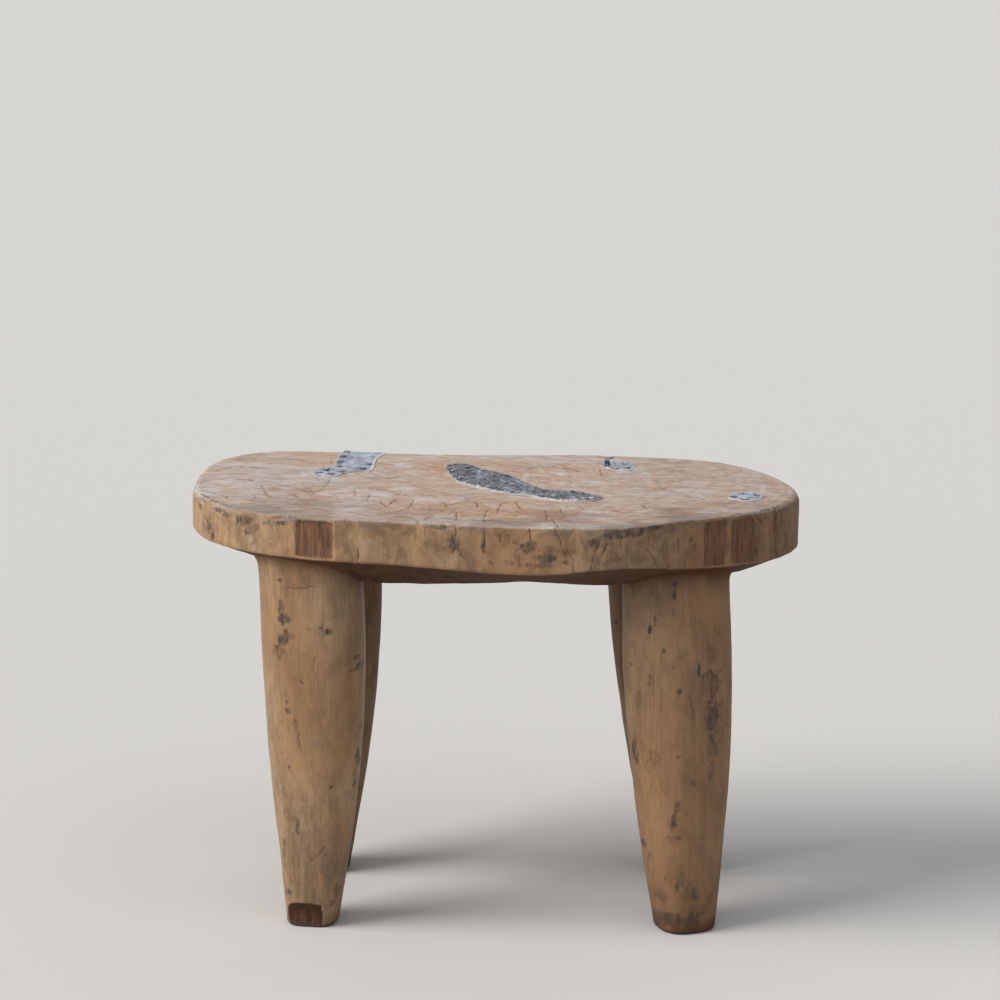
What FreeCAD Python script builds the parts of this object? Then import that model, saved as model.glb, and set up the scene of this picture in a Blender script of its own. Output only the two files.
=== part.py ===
import FreeCAD, Part
import functools
import math
import os

V = FreeCAD.Vector

# Lobi stool: one block of wood cut to a thick oval seat on four tapered legs,
# mended on top with four nailed pieces of sheet metal.
# Millimetres. X runs along the seat, Y to its back, Z up from the floor, origin under the middle.

# Seat block
seat_length = 564.0
seat_depth = 355.0
seat_height = 391.0
seat_fall = 5.0
rim_height = 43.0
rim_fall = 16.0
rim_sag = 3.5
bevel_drop = 22.5
bevel_angle = 23.0
top_round = 9.0
rim_round = 3.0
dish_inset = 42.0
dish_run = 95.0
dish_drop = 3.0

# Legs, whose places and swellings follow as shares
leg_top_width = 95.0
leg_top_depth = 88.0
leg_foot_width = 51.0
leg_foot_depth = 50.0
leg_embed = 6.0
foot_round = 2.5
leg_squareness = 2.6

# Natural hollows of the log, left uncut in the rim
hollow_depth = 3.5
left_hollow_width = 34.0
middle_hollow_width = 17.0
right_hollow_width = 24.0

# Chip broken off the front left foot
chip_width = 34.0
chip_height = 25.0
chip_depth = 5.0
chip_turn = 10.0

# Sheet metal patches
left_sheet = 1.0
centre_sheet = 1.6
back_sheet = 1.0
right_sheet = 1.0
left_patch_width = 69.0
left_patch_depth = 125.0
left_patch_lip = 14.0
centre_patch_width = 145.0
centre_patch_depth = 173.0
back_patch_width = 33.0
back_patch_depth = 37.0
right_patch_width = 34.0
right_patch_depth = 39.0
curl_height = 8.0
curl_width = 6.0

# Nails
nail_head = 6.4
nail_head_thickness = 1.3
nail_shank = 2.4
nail_length = 24.0
nail_point = 5.0
nail_tip = 0.6

# Clearances and the overrun of every cutting shape
nail_clearance = 0.05
seat_clearance = 0.02
overrun = 30.0

# Edge of the seat seen from above, as shares of half its length and half its depth,
# anticlockwise from the right end: flatter at the back, fuller at the front
OUTLINE_SHARES = [
    (1.0, 0.0), (0.955, 0.46), (0.82, 0.81), (0.58, 0.985), (0.1, 1.0), (-0.55, 1.0),
    (-0.84, 0.955), (-0.965, 0.68), (-1.0, 0.15), (-0.972, -0.28), (-0.855, -0.59),
    (-0.63, -0.8), (-0.262, -0.92), (0.19, -1.0), (0.4, -0.95), (0.6, -0.75),
    (0.83, -0.53), (0.965, -0.22),
]

# Unevenness of the hewing, at the same places round the seat: lift of the rim's lower edge
# as a share of the rim's height, and run of the bevel as a share of the even one
HEWING_SHARES = [
    (0.03, 1.0), (0.0, 1.0), (0.0, 1.0), (0.0, 1.0), (0.0, 1.0), (0.0, 1.0),
    (0.0, 1.0), (0.0, 1.0), (0.03, 1.0), (0.09, 1.0), (0.08, 1.0),
    (0.045, 0.85), (0.047, 0.8), (0.05, 1.25), (0.185, 0.86), (0.07, 1.0),
    (0.06, 1.0), (0.05, 1.0),
]

# Each leg: places of its top and of its foot as shares of half the seat's length and depth, shares
# of the common top width, top depth and foot, then its bow to the right and its fullness at mid height
# as shares of the common top width and of its own swelling
LEG_SHARES = {
    "front_left": ((-0.589, -0.485), (-0.587, -0.465), (1.0, 1.03, 0.93), 0.04, -0.04),
    "front_right": ((0.5745, -0.417), (0.624, -0.51), (1.01, 0.9, 1.05), 0.0, 0.06),
    "rear_left": ((-0.555, 0.44), (-0.588, 0.39), (1.03, 1.0, 1.0), 0.02, 0.0),
    "rear_right": ((0.535, 0.43), (0.637, 0.4), (1.0, 1.0, 1.04), 0.0, 0.0),
}

# Turn of each leg about its upright axis, in degrees
LEG_TURNS = {"front_left": -4.0, "front_right": 22.0, "rear_left": 8.0, "rear_right": -16.0}

# Swelling of a leg from foot to top: share of its height, share of the way to its top size
SWELL_SHARES = [(0.0, 0.0), (0.18, 0.35), (0.36, 0.67), (0.56, 0.91), (0.75, 1.0), (0.9, 0.97), (1.0, 1.0)]

# Wear of the top from its rim inwards: share of the run, share of the drop
DISH_SHARES = [(0.0, 0.0), (0.45, 0.65), (1.0, 1.0)]

# Places of the hollows round the rim, as shares of half the seat's length and depth
LEFT_HOLLOW_SHARES = (-0.568, -0.84)
MIDDLE_HOLLOW_SHARES = (0.68, -0.67)
RIGHT_HOLLOW_SHARES = (0.773, -0.59)

# Place of each patch's middle, as shares of half the seat's length and depth
LEFT_PLACE_SHARES = (-0.497, 0.673)
CENTRE_PLACE_SHARES = (0.089, 0.195)
BACK_PLACE_SHARES = (0.416, 0.688)
RIGHT_PLACE_SHARES = (0.8105, -0.149)

# Edges of the patches, as shares of half a patch's width and depth from its middle
LEFT_EDGE_SHARES = [
    (-1.0, -0.76), (-0.89, -0.56), (-0.47, -0.29), (-0.42, 0.06), (-0.31, 0.9), (-0.28, 1.25),
    (0.9, 1.25), (1.0, 0.97), (0.71, 0.29), (0.6, -0.52), (0.31, -0.53), (-0.09, -0.75),
    (-0.34, -0.98), (-0.69, -1.0), (-0.92, -0.88),
]
CENTRE_EDGE_SHARES = [
    (-1.0, 0.72), (-0.98, 0.88), (-0.84, 0.93), (-0.68, 0.87), (-0.52, 0.67), (-0.28, 0.5),
    (-0.1, 0.3), (0.15, -0.18), (0.3, -0.34), (0.62, -0.41), (0.87, -0.56), (1.0, -0.72),
    (0.82, -0.9), (0.5, -0.9), (0.15, -0.74), (-0.33, -0.46), (-0.6, -0.23), (-0.84, 0.05),
    (-0.94, 0.4),
]
BACK_EDGE_SHARES = [
    (-1.0, 0.1), (-0.8, 0.76), (-0.27, 1.0), (0.43, 0.92), (0.93, 0.39), (1.0, -0.2),
    (0.66, -0.98), (-0.08, -0.92), (-0.73, -0.45),
]
RIGHT_EDGE_SHARES = [
    (-1.0, -0.2), (-0.7, 0.6), (-0.3, 0.9), (0.45, 1.0), (1.0, 0.44), (0.78, -0.42),
    (0.36, -0.94), (-0.12, -1.0), (-0.6, -0.72),
]

# Nails of the patches, as shares of half a patch's width and depth from its middle
LEFT_NAIL_SHARES = [
    (-0.18, 0.76), (-0.26, 0.42), (-0.3, 0.08), (-0.32, -0.24), (-0.62, -0.52), (-0.8, -0.76),
    (-0.46, -0.85), (-0.2, -0.66), (0.36, -0.38), (0.53, -0.09),
]
CENTRE_NAIL_SHARES = [
    (-0.9, 0.6), (-0.74, 0.77), (-0.8, 0.26), (-0.38, 0.38), (-0.44, -0.24), (-0.06, -0.18),
    (0.4, -0.68), (0.87, -0.77),
]
BACK_NAIL_SHARES = [(0.5, 0.5), (-0.1, -0.5), (0.58, -0.4), (-0.68, 0.2)]
RIGHT_NAIL_SHARES = [(-0.66, -0.06), (-0.14, 0.68), (0.66, 0.46), (0.5, -0.3), (-0.08, -0.7)]

# Tongue that curls up from the small patch at the back, as shares from the patch's middle
CURL_PLACE_SHARES = (-0.5, 0.35)
curl_start = 250.0
curl_end = 30.0

# Sizes that follow from those above
rim_low_height = seat_height - rim_height
leg_height = rim_low_height - bevel_drop
bevel_run = 1 / math.tan(math.radians(bevel_angle))
leg_root_height = rim_low_height + leg_embed
nail_hole = nail_shank + 2 * nail_clearance
EDGE_SPANS = 3
ROUND_STEPS = 3
LEG_SIDES = 24
HEAD_SIDES = 8


def running_shares(points):
    """Share of the way round a closed row of points that is done at each one."""
    lengths = [0.0]
    for index in range(len(points)):
        step = points[(index + 1) % len(points)] - points[index]
        lengths.append(lengths[-1] + step.Length)
    return [length / lengths[-1] for length in lengths]


def closed_curve(points, shares=None):
    """Smooth closed wire through points, in edges of three spans each."""
    if shares is None:
        shares = running_shares(points)
    curve = Part.BSplineCurve()
    curve.interpolate(Points=points, PeriodicFlag=True, Parameters=shares)
    count = len(points)
    edges = []
    for first in range(0, count, EDGE_SPANS):
        edges.append(curve.toShape(shares[first], shares[min(first + EDGE_SPANS, count)]))
    return Part.Wire(edges)


def edge_point(shares, inset, height):
    """Point of the seat's edge, drawn in by an inset."""
    return V((seat_length / 2 - inset) * shares[0], (seat_depth / 2 - inset) * shares[1], height)


def seat_outline(inset, height, fall=0.0):
    """Edge of the seat drawn in by an inset, at a level that falls to the right."""
    points = [edge_point(shares, inset, height - fall * shares[0] / 2) for shares in OUTLINE_SHARES]
    return closed_curve(points, OUTLINE_RUN_SHARES)


def rim_low_at(along_share):
    """Level of the rim's lower edge before its unevenness: it falls to the right and sags at the ends."""
    return rim_low_height - rim_fall * along_share / 2 - rim_sag * along_share ** 2


def rim_outline(inset, rise):
    """Uneven lower edge of the rim, drawn in by an inset and raised."""
    points = []
    for shares, (lift_share, run_share) in zip(OUTLINE_SHARES, HEWING_SHARES):
        points.append(edge_point(shares, inset, rim_low_at(shares[0]) + rim_height * lift_share + rise))
    return closed_curve(points, OUTLINE_RUN_SHARES)


def underside_outline(grow):
    """Edge of the flat underside, where the slope of the bevel reaches it."""
    points = []
    for shares, (lift_share, run_share) in zip(OUTLINE_SHARES, HEWING_SHARES):
        drop = rim_low_at(shares[0]) + rim_height * lift_share - leg_height
        inset = rim_round + drop * bevel_run * run_share
        points.append(edge_point(shares, inset - grow, leg_height - grow))
    return closed_curve(points, OUTLINE_RUN_SHARES)


OUTLINE_RUN_SHARES = running_shares([edge_point(shares, 0, 0) for shares in OUTLINE_SHARES])


def solid_between(sections):
    """Solid through closed sections, with straight sides from each to the next and flat ends."""
    sides = Part.makeLoft(sections, False, True).Faces
    shell = Part.makeShell(sides + [Part.Face(sections[0]), Part.Face(sections[-1])])
    shell.sewShape()
    return Part.makeSolid(shell)


@functools.lru_cache(maxsize=None)
def seat_blank(grow):
    """Seat without legs: flat underside, bevel, upright rim, worn top edge and dished top."""
    top = seat_height + grow
    bend = top_round + grow
    lower = [
        underside_outline(grow),
        rim_outline(rim_round - grow, -grow),
        rim_outline(-grow, rim_round - grow),
    ]
    upper = []
    for step in range(ROUND_STEPS + 1):
        turn = math.pi / 2 * step / ROUND_STEPS
        upper.append(seat_outline(bend * (1 - math.cos(turn)) - grow, top - bend * (1 - math.sin(turn)), seat_fall))
    for run_share, drop_share in DISH_SHARES:
        inset = dish_inset + dish_run * run_share
        upper.append(seat_outline(inset, top - dish_drop * drop_share, seat_fall))
    return solid_between(lower + upper)


def leg_section(place, width, depth, turn):
    """Rounded square section of a leg, hewn in flats and turned about its middle."""
    spin = FreeCAD.Rotation(V(0, 0, 1), turn)
    points = []
    for index in range(LEG_SIDES):
        angle = 2 * math.pi * (index + 0.5) / LEG_SIDES
        c = math.cos(angle)
        s = math.sin(angle)
        x = width / 2 * math.copysign(abs(c) ** (2 / leg_squareness), c)
        y = depth / 2 * math.copysign(abs(s) ** (2 / leg_squareness), s)
        points.append(place + spin.multVec(V(x, y, 0)))
    return Part.makePolygon(points + [points[0]])


def leg_solid(top_shares, foot_shares, size_shares, bow_share, belly_share, turn):
    """Tapered leg from the floor to inside the seat, swelling as it rises."""
    width_share, depth_share, foot_share = size_shares
    top = edge_point(top_shares, 0, leg_root_height)
    foot = edge_point(foot_shares, 0, 0)
    foot_width = leg_foot_width * foot_share
    foot_depth = leg_foot_depth * foot_share
    sections = []
    for height_share, swell_share in SWELL_SHARES:
        middle = 4 * height_share * (1 - height_share)
        swell = swell_share + belly_share * middle
        width = foot_width + (leg_top_width * width_share - foot_width) * swell
        depth = foot_depth + (leg_top_depth * depth_share - foot_depth) * swell
        bow = V(leg_top_width * bow_share * middle, 0, 0)
        place = foot + (top - foot) * height_share + bow
        if not sections:
            sections.append(leg_section(foot, width - 2 * foot_round, depth - 2 * foot_round, turn))
            place = place + V(0, 0, foot_round)
        sections.append(leg_section(place, width, depth, turn))
    return solid_between(sections)


def rim_point(shares):
    """Point of the seat's edge nearest to a place, and the direction out of the wood there."""
    place = edge_point(shares, 0, 0)
    outline = seat_outline(0, 0)
    distance, pairs, details = outline.distToShape(Part.Vertex(place))
    point = pairs[0][0]
    edge = min(outline.Edges, key=lambda each: each.distToShape(Part.Vertex(point))[0])
    tangent = edge.tangentAt(edge.Curve.parameter(point))
    outward = V(tangent.y, -tangent.x, 0)
    return point, outward


def hollow_cutter(shares, width):
    """Upright scoop that takes a shallow hollow out of the rim."""
    radius = ((width / 2) ** 2 + hollow_depth ** 2) / (2 * hollow_depth)
    point, outward = rim_point(shares)
    axis = point + outward * (radius - hollow_depth)
    bottom = V(axis.x, axis.y, rim_low_at(shares[0]) - rim_round)
    return Part.makeCylinder(radius, rim_height + overrun, bottom)


def chip_cutter():
    """Lying cylinder that scoops the chip out of the front left foot, deeper at its outer side."""
    top_shares, foot_shares, size_shares = LEG_SHARES["front_left"][:3]
    foot = edge_point(foot_shares, 0, 0)
    front = foot.y - leg_foot_depth * size_shares[-1] / 2
    left = -leg_foot_width * size_shares[-1] / 2
    radius = ((chip_height / 2) ** 2 + chip_depth ** 2) / (2 * chip_depth)
    start = V(left - overrun, chip_depth - radius, chip_height / 2 - foot_round)
    scoop = Part.makeCylinder(radius, overrun + chip_width, start, V(1, 0, 0))
    scoop.rotate(V(0, 0, 0), V(0, 0, 1), -chip_turn)
    scoop.translate(V(foot.x, front, 0))
    return scoop


def patch_place(place_shares, half_width, half_depth, shares):
    """Point of a patch, in the seat's own frame."""
    return edge_point(place_shares, 0, 0) + V(shares[0] * half_width, shares[1] * half_depth, 0)


def outline_prism(points, smooth, low, high):
    """Upright prism over a closed outline."""
    if smooth:
        wire = closed_curve(points)
    else:
        wire = Part.makePolygon(points + [points[0]])
    prism = Part.Face(wire).extrude(V(0, 0, high - low))
    prism.translate(V(0, 0, low))
    return prism


class Patch:
    """Piece of sheet metal that lies on the seat, with the nails that hold it."""

    def __init__(self, name, sheet, place_shares, width, depth, edge_shares, nail_shares, lip, smooth):
        self.name = name
        self.sheet = sheet
        self.place_shares = place_shares
        self.half_width = width / 2
        self.half_depth = depth / 2
        self.nail_shares = nail_shares
        edge = [self.point(shares) for shares in edge_shares]
        low = seat_height - lip
        prism = outline_prism(edge, smooth, low, seat_height + overrun)
        self.solid = seat_blank(sheet).common(prism).cut(seat_blank(0.0))

    def point(self, shares):
        return patch_place(self.place_shares, self.half_width, self.half_depth, shares)

    def top_at(self, x, y):
        """Height of the sheet's upper face, or nothing where there is no sheet."""
        line = Part.makeLine(V(x, y, seat_height - overrun), V(x, y, seat_height + overrun))
        heights = [vertex.Z for vertex in line.common(self.solid).Vertexes]
        if heights:
            return max(heights)
        return 0.0

    def nail_bases(self):
        """Undersides of the nail heads, each resting on the highest point of the sheet below it."""
        bases = []
        for shares in self.nail_shares:
            middle = self.point(shares)
            reach = nail_head / 2
            heights = [self.top_at(middle.x, middle.y)]
            for x, y in ((reach, 0), (-reach, 0), (0, reach), (0, -reach)):
                heights.append(self.top_at(middle.x + x, middle.y + y))
            bases.append(V(middle.x, middle.y, max(heights) + seat_clearance))
        return bases


def ring(sides, radius, base, height):
    """Corners of a regular polygon about the upright axis through a base point."""
    corners = []
    for index in range(sides):
        angle = 2 * math.pi * (index + 0.5) / sides
        corners.append(base + V(radius * math.cos(angle), radius * math.sin(angle), height))
    return corners


def faceted(rings):
    """Solid with flat faces through rings of corners, from the lowest to the highest."""
    faces = []
    for low, high in zip(rings, rings[1:]):
        for index in range(len(low)):
            after = (index + 1) % len(low)
            corners = [low[index], low[after], high[after], high[index], low[index]]
            faces.append(Part.Face(Part.makePolygon(corners)))
    for end in (rings[0], rings[-1]):
        faces.append(Part.Face(Part.makePolygon(end + [end[0]])))
    shell = Part.makeShell(faces)
    shell.sewShape()
    solid = Part.makeSolid(shell)
    if solid.Volume < 0:
        solid.reverse()
    return solid


def nail_shape(base):
    """Cut nail with a low faceted head and a square shank that tapers to a point."""
    edge = nail_head_thickness / 2
    head = faceted([
        ring(HEAD_SIDES, nail_head / 2, base, 0),
        ring(HEAD_SIDES, nail_head / 2, base, edge),
        ring(HEAD_SIDES, nail_head / 4, base, nail_head_thickness),
    ])
    corner = nail_shank / math.sqrt(2)
    shank = faceted([
        ring(4, nail_tip / math.sqrt(2), base, -nail_length),
        ring(4, corner, base, nail_point - nail_length),
        ring(4, corner, base, edge),
    ])
    return head.fuse(shank)


def nail_hole_shape(base):
    """Hole that a nail leaves in the sheet and the wood, with its clearance."""
    corner = nail_hole / math.sqrt(2)
    return faceted([
        ring(4, nail_tip / math.sqrt(2) + nail_clearance, base, -nail_length - nail_clearance),
        ring(4, corner, base, nail_point - nail_length),
        ring(4, corner, base, nail_head_thickness),
    ])


def curled_tongue(patch):
    """Sliver of the sheet, curled up and over."""
    outer = curl_height / 2
    inner = outer - patch.sheet
    place = patch.point(CURL_PLACE_SHARES)
    base = patch.top_at(place.x, place.y) - patch.sheet / 2

    def at(radius, angle):
        turn = math.radians(angle)
        return V(radius * math.cos(turn), 0, outer + radius * math.sin(turn))

    middle = (curl_start + curl_end) / 2
    edges = [
        Part.Arc(at(outer, curl_start), at(outer, middle), at(outer, curl_end)).toShape(),
        Part.makeLine(at(outer, curl_end), at(inner, curl_end)),
        Part.Arc(at(inner, curl_end), at(inner, middle), at(inner, curl_start)).toShape(),
        Part.makeLine(at(inner, curl_start), at(outer, curl_start)),
    ]
    tongue = Part.Face(Part.Wire(edges)).extrude(V(0, curl_width, 0))
    tongue.translate(V(place.x, place.y - curl_width / 2, base))
    return tongue


def carved_body(holes):
    """Seat and legs, which are one piece of wood, with the holes of the nails."""
    hollows = [
        hollow_cutter(LEFT_HOLLOW_SHARES, left_hollow_width),
        hollow_cutter(MIDDLE_HOLLOW_SHARES, middle_hollow_width),
        hollow_cutter(RIGHT_HOLLOW_SHARES, right_hollow_width),
    ]
    seat = seat_blank(0.0).cut(hollows + holes)
    legs = [leg_solid(*shares, LEG_TURNS[name]) for name, shares in LEG_SHARES.items()]
    return seat.fuse(legs).cut(chip_cutter())


def patches():
    """The four mends, from left to right."""
    left = Patch("left_patch", left_sheet, LEFT_PLACE_SHARES, left_patch_width, left_patch_depth,
                 LEFT_EDGE_SHARES, LEFT_NAIL_SHARES, left_patch_lip, False)
    centre = Patch("centre_patch", centre_sheet, CENTRE_PLACE_SHARES, centre_patch_width, centre_patch_depth,
                   CENTRE_EDGE_SHARES, CENTRE_NAIL_SHARES, left_patch_lip, True)
    back = Patch("back_patch", back_sheet, BACK_PLACE_SHARES, back_patch_width, back_patch_depth,
                 BACK_EDGE_SHARES, BACK_NAIL_SHARES, left_patch_lip, True)
    right = Patch("right_patch", right_sheet, RIGHT_PLACE_SHARES, right_patch_width, right_patch_depth,
                  RIGHT_EDGE_SHARES, RIGHT_NAIL_SHARES, left_patch_lip, True)
    return [left, centre, back, right]


def build():
    """All the pieces by name."""
    pieces = {}
    holes = []
    for patch in patches():
        bases = patch.nail_bases()
        if patch.name == "back_patch":
            patch.solid = patch.solid.fuse(curled_tongue(patch)).removeSplitter()
        own_holes = [nail_hole_shape(base) for base in bases]
        holes += own_holes
        pieces[patch.name] = patch.solid.cut(own_holes)
        pieces[patch.name + "_nails"] = Part.makeCompound([nail_shape(base) for base in bases])
    pieces["carved_body"] = carved_body(holes)
    return pieces


os.makedirs("parts", exist_ok=True)
for name, shape in build().items():
    print(name, len(shape.Solids), "solids,", "valid" if shape.isValid() else "INVALID", round(shape.Volume))
    shape.exportStep("parts/" + name + ".step")
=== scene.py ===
import math

import bpy
import numpy as np
from bpy.props import FloatProperty, FloatVectorProperty, IntProperty, PointerProperty
from bpy.types import Operator, Panel, PropertyGroup
from mathutils import Euler, Matrix


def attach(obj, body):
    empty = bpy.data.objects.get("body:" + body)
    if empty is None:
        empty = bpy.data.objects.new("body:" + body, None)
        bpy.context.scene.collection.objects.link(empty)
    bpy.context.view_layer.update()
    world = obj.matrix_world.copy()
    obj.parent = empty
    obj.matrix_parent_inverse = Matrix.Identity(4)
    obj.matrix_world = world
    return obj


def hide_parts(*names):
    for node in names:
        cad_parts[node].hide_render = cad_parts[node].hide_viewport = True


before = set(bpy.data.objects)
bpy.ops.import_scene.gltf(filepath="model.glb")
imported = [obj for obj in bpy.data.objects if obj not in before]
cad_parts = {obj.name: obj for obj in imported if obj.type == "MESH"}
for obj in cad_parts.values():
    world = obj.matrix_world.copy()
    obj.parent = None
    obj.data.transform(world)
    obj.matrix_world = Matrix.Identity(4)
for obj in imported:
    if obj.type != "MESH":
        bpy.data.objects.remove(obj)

bl_info = {
    "name": "Carved stool",
    "version": (1, 0, 0),
    "blender": (4, 5, 0),
    "location": "View3D > Sidebar > Stool",
    "description": "Builds a worn four-legged stool carved from one log, with nailed sheet metal patches",
    "category": "Add Mesh",
}

# Shapes are worked out in millimetres and written to meshes in metres
MM = 0.001

# Edge of the seat seen from above, as shares of half its length and half its depth,
# anticlockwise from the right end: flatter at the back, fuller at the front
OUTLINE_SHARES = [
    (1.0, 0.0), (0.955, 0.46), (0.82, 0.81), (0.58, 0.985), (0.1, 1.0), (-0.55, 1.0),
    (-0.84, 0.955), (-0.965, 0.68), (-1.0, 0.15), (-0.972, -0.28), (-0.855, -0.59),
    (-0.63, -0.8), (-0.262, -0.92), (0.19, -1.0), (0.4, -0.95), (0.6, -0.75),
    (0.83, -0.53), (0.965, -0.22),
]

# Unevenness of the hewing, at the same places round the seat: lift of the rim's lower edge
# as a share of the rim's height, and run of the bevel as a share of the even one
HEWING_SHARES = [
    (0.03, 1.0), (0.0, 1.0), (0.0, 1.0), (0.0, 1.0), (0.0, 1.0), (0.0, 1.0),
    (0.0, 1.0), (0.0, 1.0), (0.03, 1.0), (0.09, 1.0), (0.08, 1.0),
    (0.045, 0.85), (0.047, 0.8), (0.05, 1.25), (0.185, 0.86), (0.07, 1.0),
    (0.06, 1.0), (0.05, 1.0),
]

# Each leg: places of its top and of its foot as shares of half the seat's length and depth, shares
# of the common top width, top depth and foot, its bow and fullness at mid height, and its turn in degrees
LEGS = {
    "front_left": ((-0.589, -0.485), (-0.587, -0.465), (1.0, 1.03, 0.93), 0.04, -0.04, -4.0),
    "front_right": ((0.5745, -0.417), (0.624, -0.51), (1.01, 0.9, 1.05), 0.0, 0.06, 22.0),
    "rear_left": ((-0.555, 0.44), (-0.588, 0.39), (1.03, 1.0, 1.0), 0.02, 0.0, 8.0),
    "rear_right": ((0.535, 0.43), (0.637, 0.4), (1.0, 1.0, 1.04), 0.0, 0.0, -16.0),
}

# Swelling of a leg from foot to top: share of its height, share of the way to its top size
SWELL_SHARES = [(0.0, 0.0), (0.18, 0.35), (0.36, 0.67), (0.56, 0.91), (0.75, 1.0), (0.9, 0.97), (1.0, 1.0)]

# Natural hollows of the rim in front: left and right ends along the seat
HOLLOWS = [(-176.0, -140.0), (184.5, 207.5), (209.5, 235.0)]

# Marks on the front of the rim: place along the seat, height, half width, half height, strength
RIM_SMUDGES = [
    (-36, 374, 8, 8, 0.75), (-28, 366, 5, 6, 0.5), (-10, 371, 3, 8, 0.7), (28, 374, 12, 7, 0.7),
    (22, 364, 5, 5, 0.5), (44, 364, 9, 7, 0.85), (48, 371, 6, 6, 0.5), (-3, 359, 4, 2.5, 0.8),
    (62, 360, 5, 3, 0.8), (36, 357, 22, 2.5, 0.55), (12, 359, 8, 3, 0.5), (85, 378, 7, 7, 0.9),
    (96, 382, 9, 4, 1.1), (110, 384, 11, 4.5, 1.3), (124, 386, 10, 4, 1.3), (139, 388, 10, 4, 1.3),
    (152, 390, 9, 3, 0.9), (-48, 388, 12, 2, 0.6), (-222, 384, 9, 6, 0.85), (-216, 375, 6, 5, 0.7),
    (-230, 378, 4, 6, 0.55), (-209, 380, 4, 4, 0.6), (-200, 384, 12, 3, 0.5), (-186, 385, 7, 2.5, 0.9),
    (-247, 388, 8, 2.5, 0.9), (-238, 386, 6, 2.5, 0.8), (-258, 391, 7, 1.6, 0.8), (-198, 371, 3, 10, 0.35),
    (92, 358, 5, 3, 0.35), (172, 372, 3, 4, 0.7), (176, 364, 2.5, 5, 0.6), (234, 352, 2.6, 5, 0.85),
    (252, 382, 2.5, 6, 0.6), (-266, 385, 2, 4, 0.9), (-261, 378, 2.2, 3, 0.9), (-256, 371, 2.2, 4, 0.9),
    (-253, 364, 2, 5, 0.8), (-150, 360, 14, 3, 0.25), (-90, 362, 16, 6, 0.25), (-66, 376, 3, 12, 0.25),
]
RIM_PAINT = [
    (-216, 368, 3, 6, 0.45), (-213, 361, 2.5, 4, 0.3), (-218, 375, 2, 2.5, 0.35),
    (-252, 390, 3, 1.2, 0.5),
]
RIM_RUST = [
    (247, 370, 3, 12, 0.8), (126, 364, 10, 6, 0.35), (105, 366, 12, 4, 0.3), (-265, 372, 3, 8, 0.4),
]

# Cracks on the front of the rim: points along the seat and height
RIM_CRACKS = [
    [(-69, 386), (-68, 377)], [(-35, 391), (-34, 384)], [(-9, 391), (-8, 373)],
    [(51, 391), (58, 378), (61, 366)], [(64, 370), (68, 358), (70, 349)],
    [(91, 379), (86, 366), (83, 352)], [(96, 376), (92, 360)], [(133, 368), (138, 360), (141, 352)],
    [(252, 386), (253, 366), (255, 344)], [(231, 388), (236, 381)], [(-270, 388), (-270, 378)],
    [(-266, 387), (-261, 378), (-258, 374), (-254, 369), (-252, 362)], [(-259, 368), (-258, 360)],
    [(12, 383), (12, 377)], [(5, 382), (5, 376)], [(160, 372), (163, 360)], [(-120, 366), (-119, 352)],
    [(110, 380), (109, 372)], [(30, 388), (31, 381)],
]

# Marks on the top: place along and across the seat, half length, half depth, strength
TOP_RUST = [
    (-20, -105, 110, 46, 0.85), (-110, -30, 60, 50, 0.4), (10, -60, 60, 24, 0.4), (-60, 40, 30, 60, 0.4),
    (-54, 92, 26, 20, 0.75), (-30, 120, 40, 12, 0.5), (-20, 132, 60, 10, 0.35), (-48, 60, 14, 14, 0.7),
    (-204, -18, 9, 18, 0.85), (-184, -37, 7, 6, 0.9), (-120, 6, 18, 6, 0.5), (-84, -26, 24, 8, 0.45),
    (-45, -72, 12, 9, 0.8), (6, -62, 14, 16, 0.55), (24, -96, 10, 22, 0.5), (103, 78, 4, 22, 0.9),
    (150, 18, 16, 10, 0.7), (176, 6, 12, 7, 0.5), (60, 60, 18, 9, 0.55), (48, 36, 30, 8, 0.4),
    (-237, 22, 10, 6, 0.8), (-262, 46, 14, 8, 0.4), (-110, 122, 30, 12, 0.45), (-96, -76, 8, 14, 0.7),
    (-78, -88, 8, 12, 0.55), (-150, -44, 16, 10, 0.4), (-10, -104, 10, 14, 0.5), (58, -112, 20, 12, 0.35),
    (96, -92, 12, 14, 0.35), (90, 20, 24, 8, 0.35), (196, 84, 16, 8, 0.45), (220, 60, 10, 8, 0.35),
    (-150, 60, 16, 12, 0.35), (-180, 108, 26, 10, 0.35), (30, 104, 20, 10, 0.5), (230, -20, 16, 8, 0.3),
]
TOP_GREY = [
    (-30, -28, 8, 8, 0.9), (-107, 60, 26, 5, 0.55), (-96, 36, 30, 8, 0.35), (-160, -82, 30, 9, 0.6),
    (-225, -64, 18, 10, 0.7), (-60, -112, 30, 8, 0.5), (40, 118, 26, 8, 0.55), (90, 96, 16, 6, 0.45),
    (210, 92, 40, 12, 0.45), (170, 40, 30, 12, 0.3), (-16, -150, 34, 5, 0.6), (60, -152, 30, 4, 0.5),
    (-118, -122, 26, 6, 0.5), (-238, 92, 20, 8, 0.3), (-200, 130, 28, 10, 0.3), (-90, -118, 14, 12, 0.5),
]
TOP_PALE = [
    (-225, 40, 66, 110, 0.62), (60, 152, 150, 24, 0.5), (-90, 150, 80, 24, 0.4), (200, 40, 70, 60, 0.3),
    (190, -100, 9, 6, 1.4), (206, -84, 3, 14, 1.4), (184, -16, 5, 20, 1.2), (110, 5, 22, 4, 0.8),
    (-252, 6, 18, 22, 0.55), (-216, 70, 40, 26, 0.5), (-150, 20, 34, 20, 0.4), (116, 70, 26, 14, 0.6),
    (150, -60, 34, 20, 0.45), (-120, 96, 34, 16, 0.4), (20, -30, 30, 18, 0.35), (-180, -50, 26, 14, 0.4),
]

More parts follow.
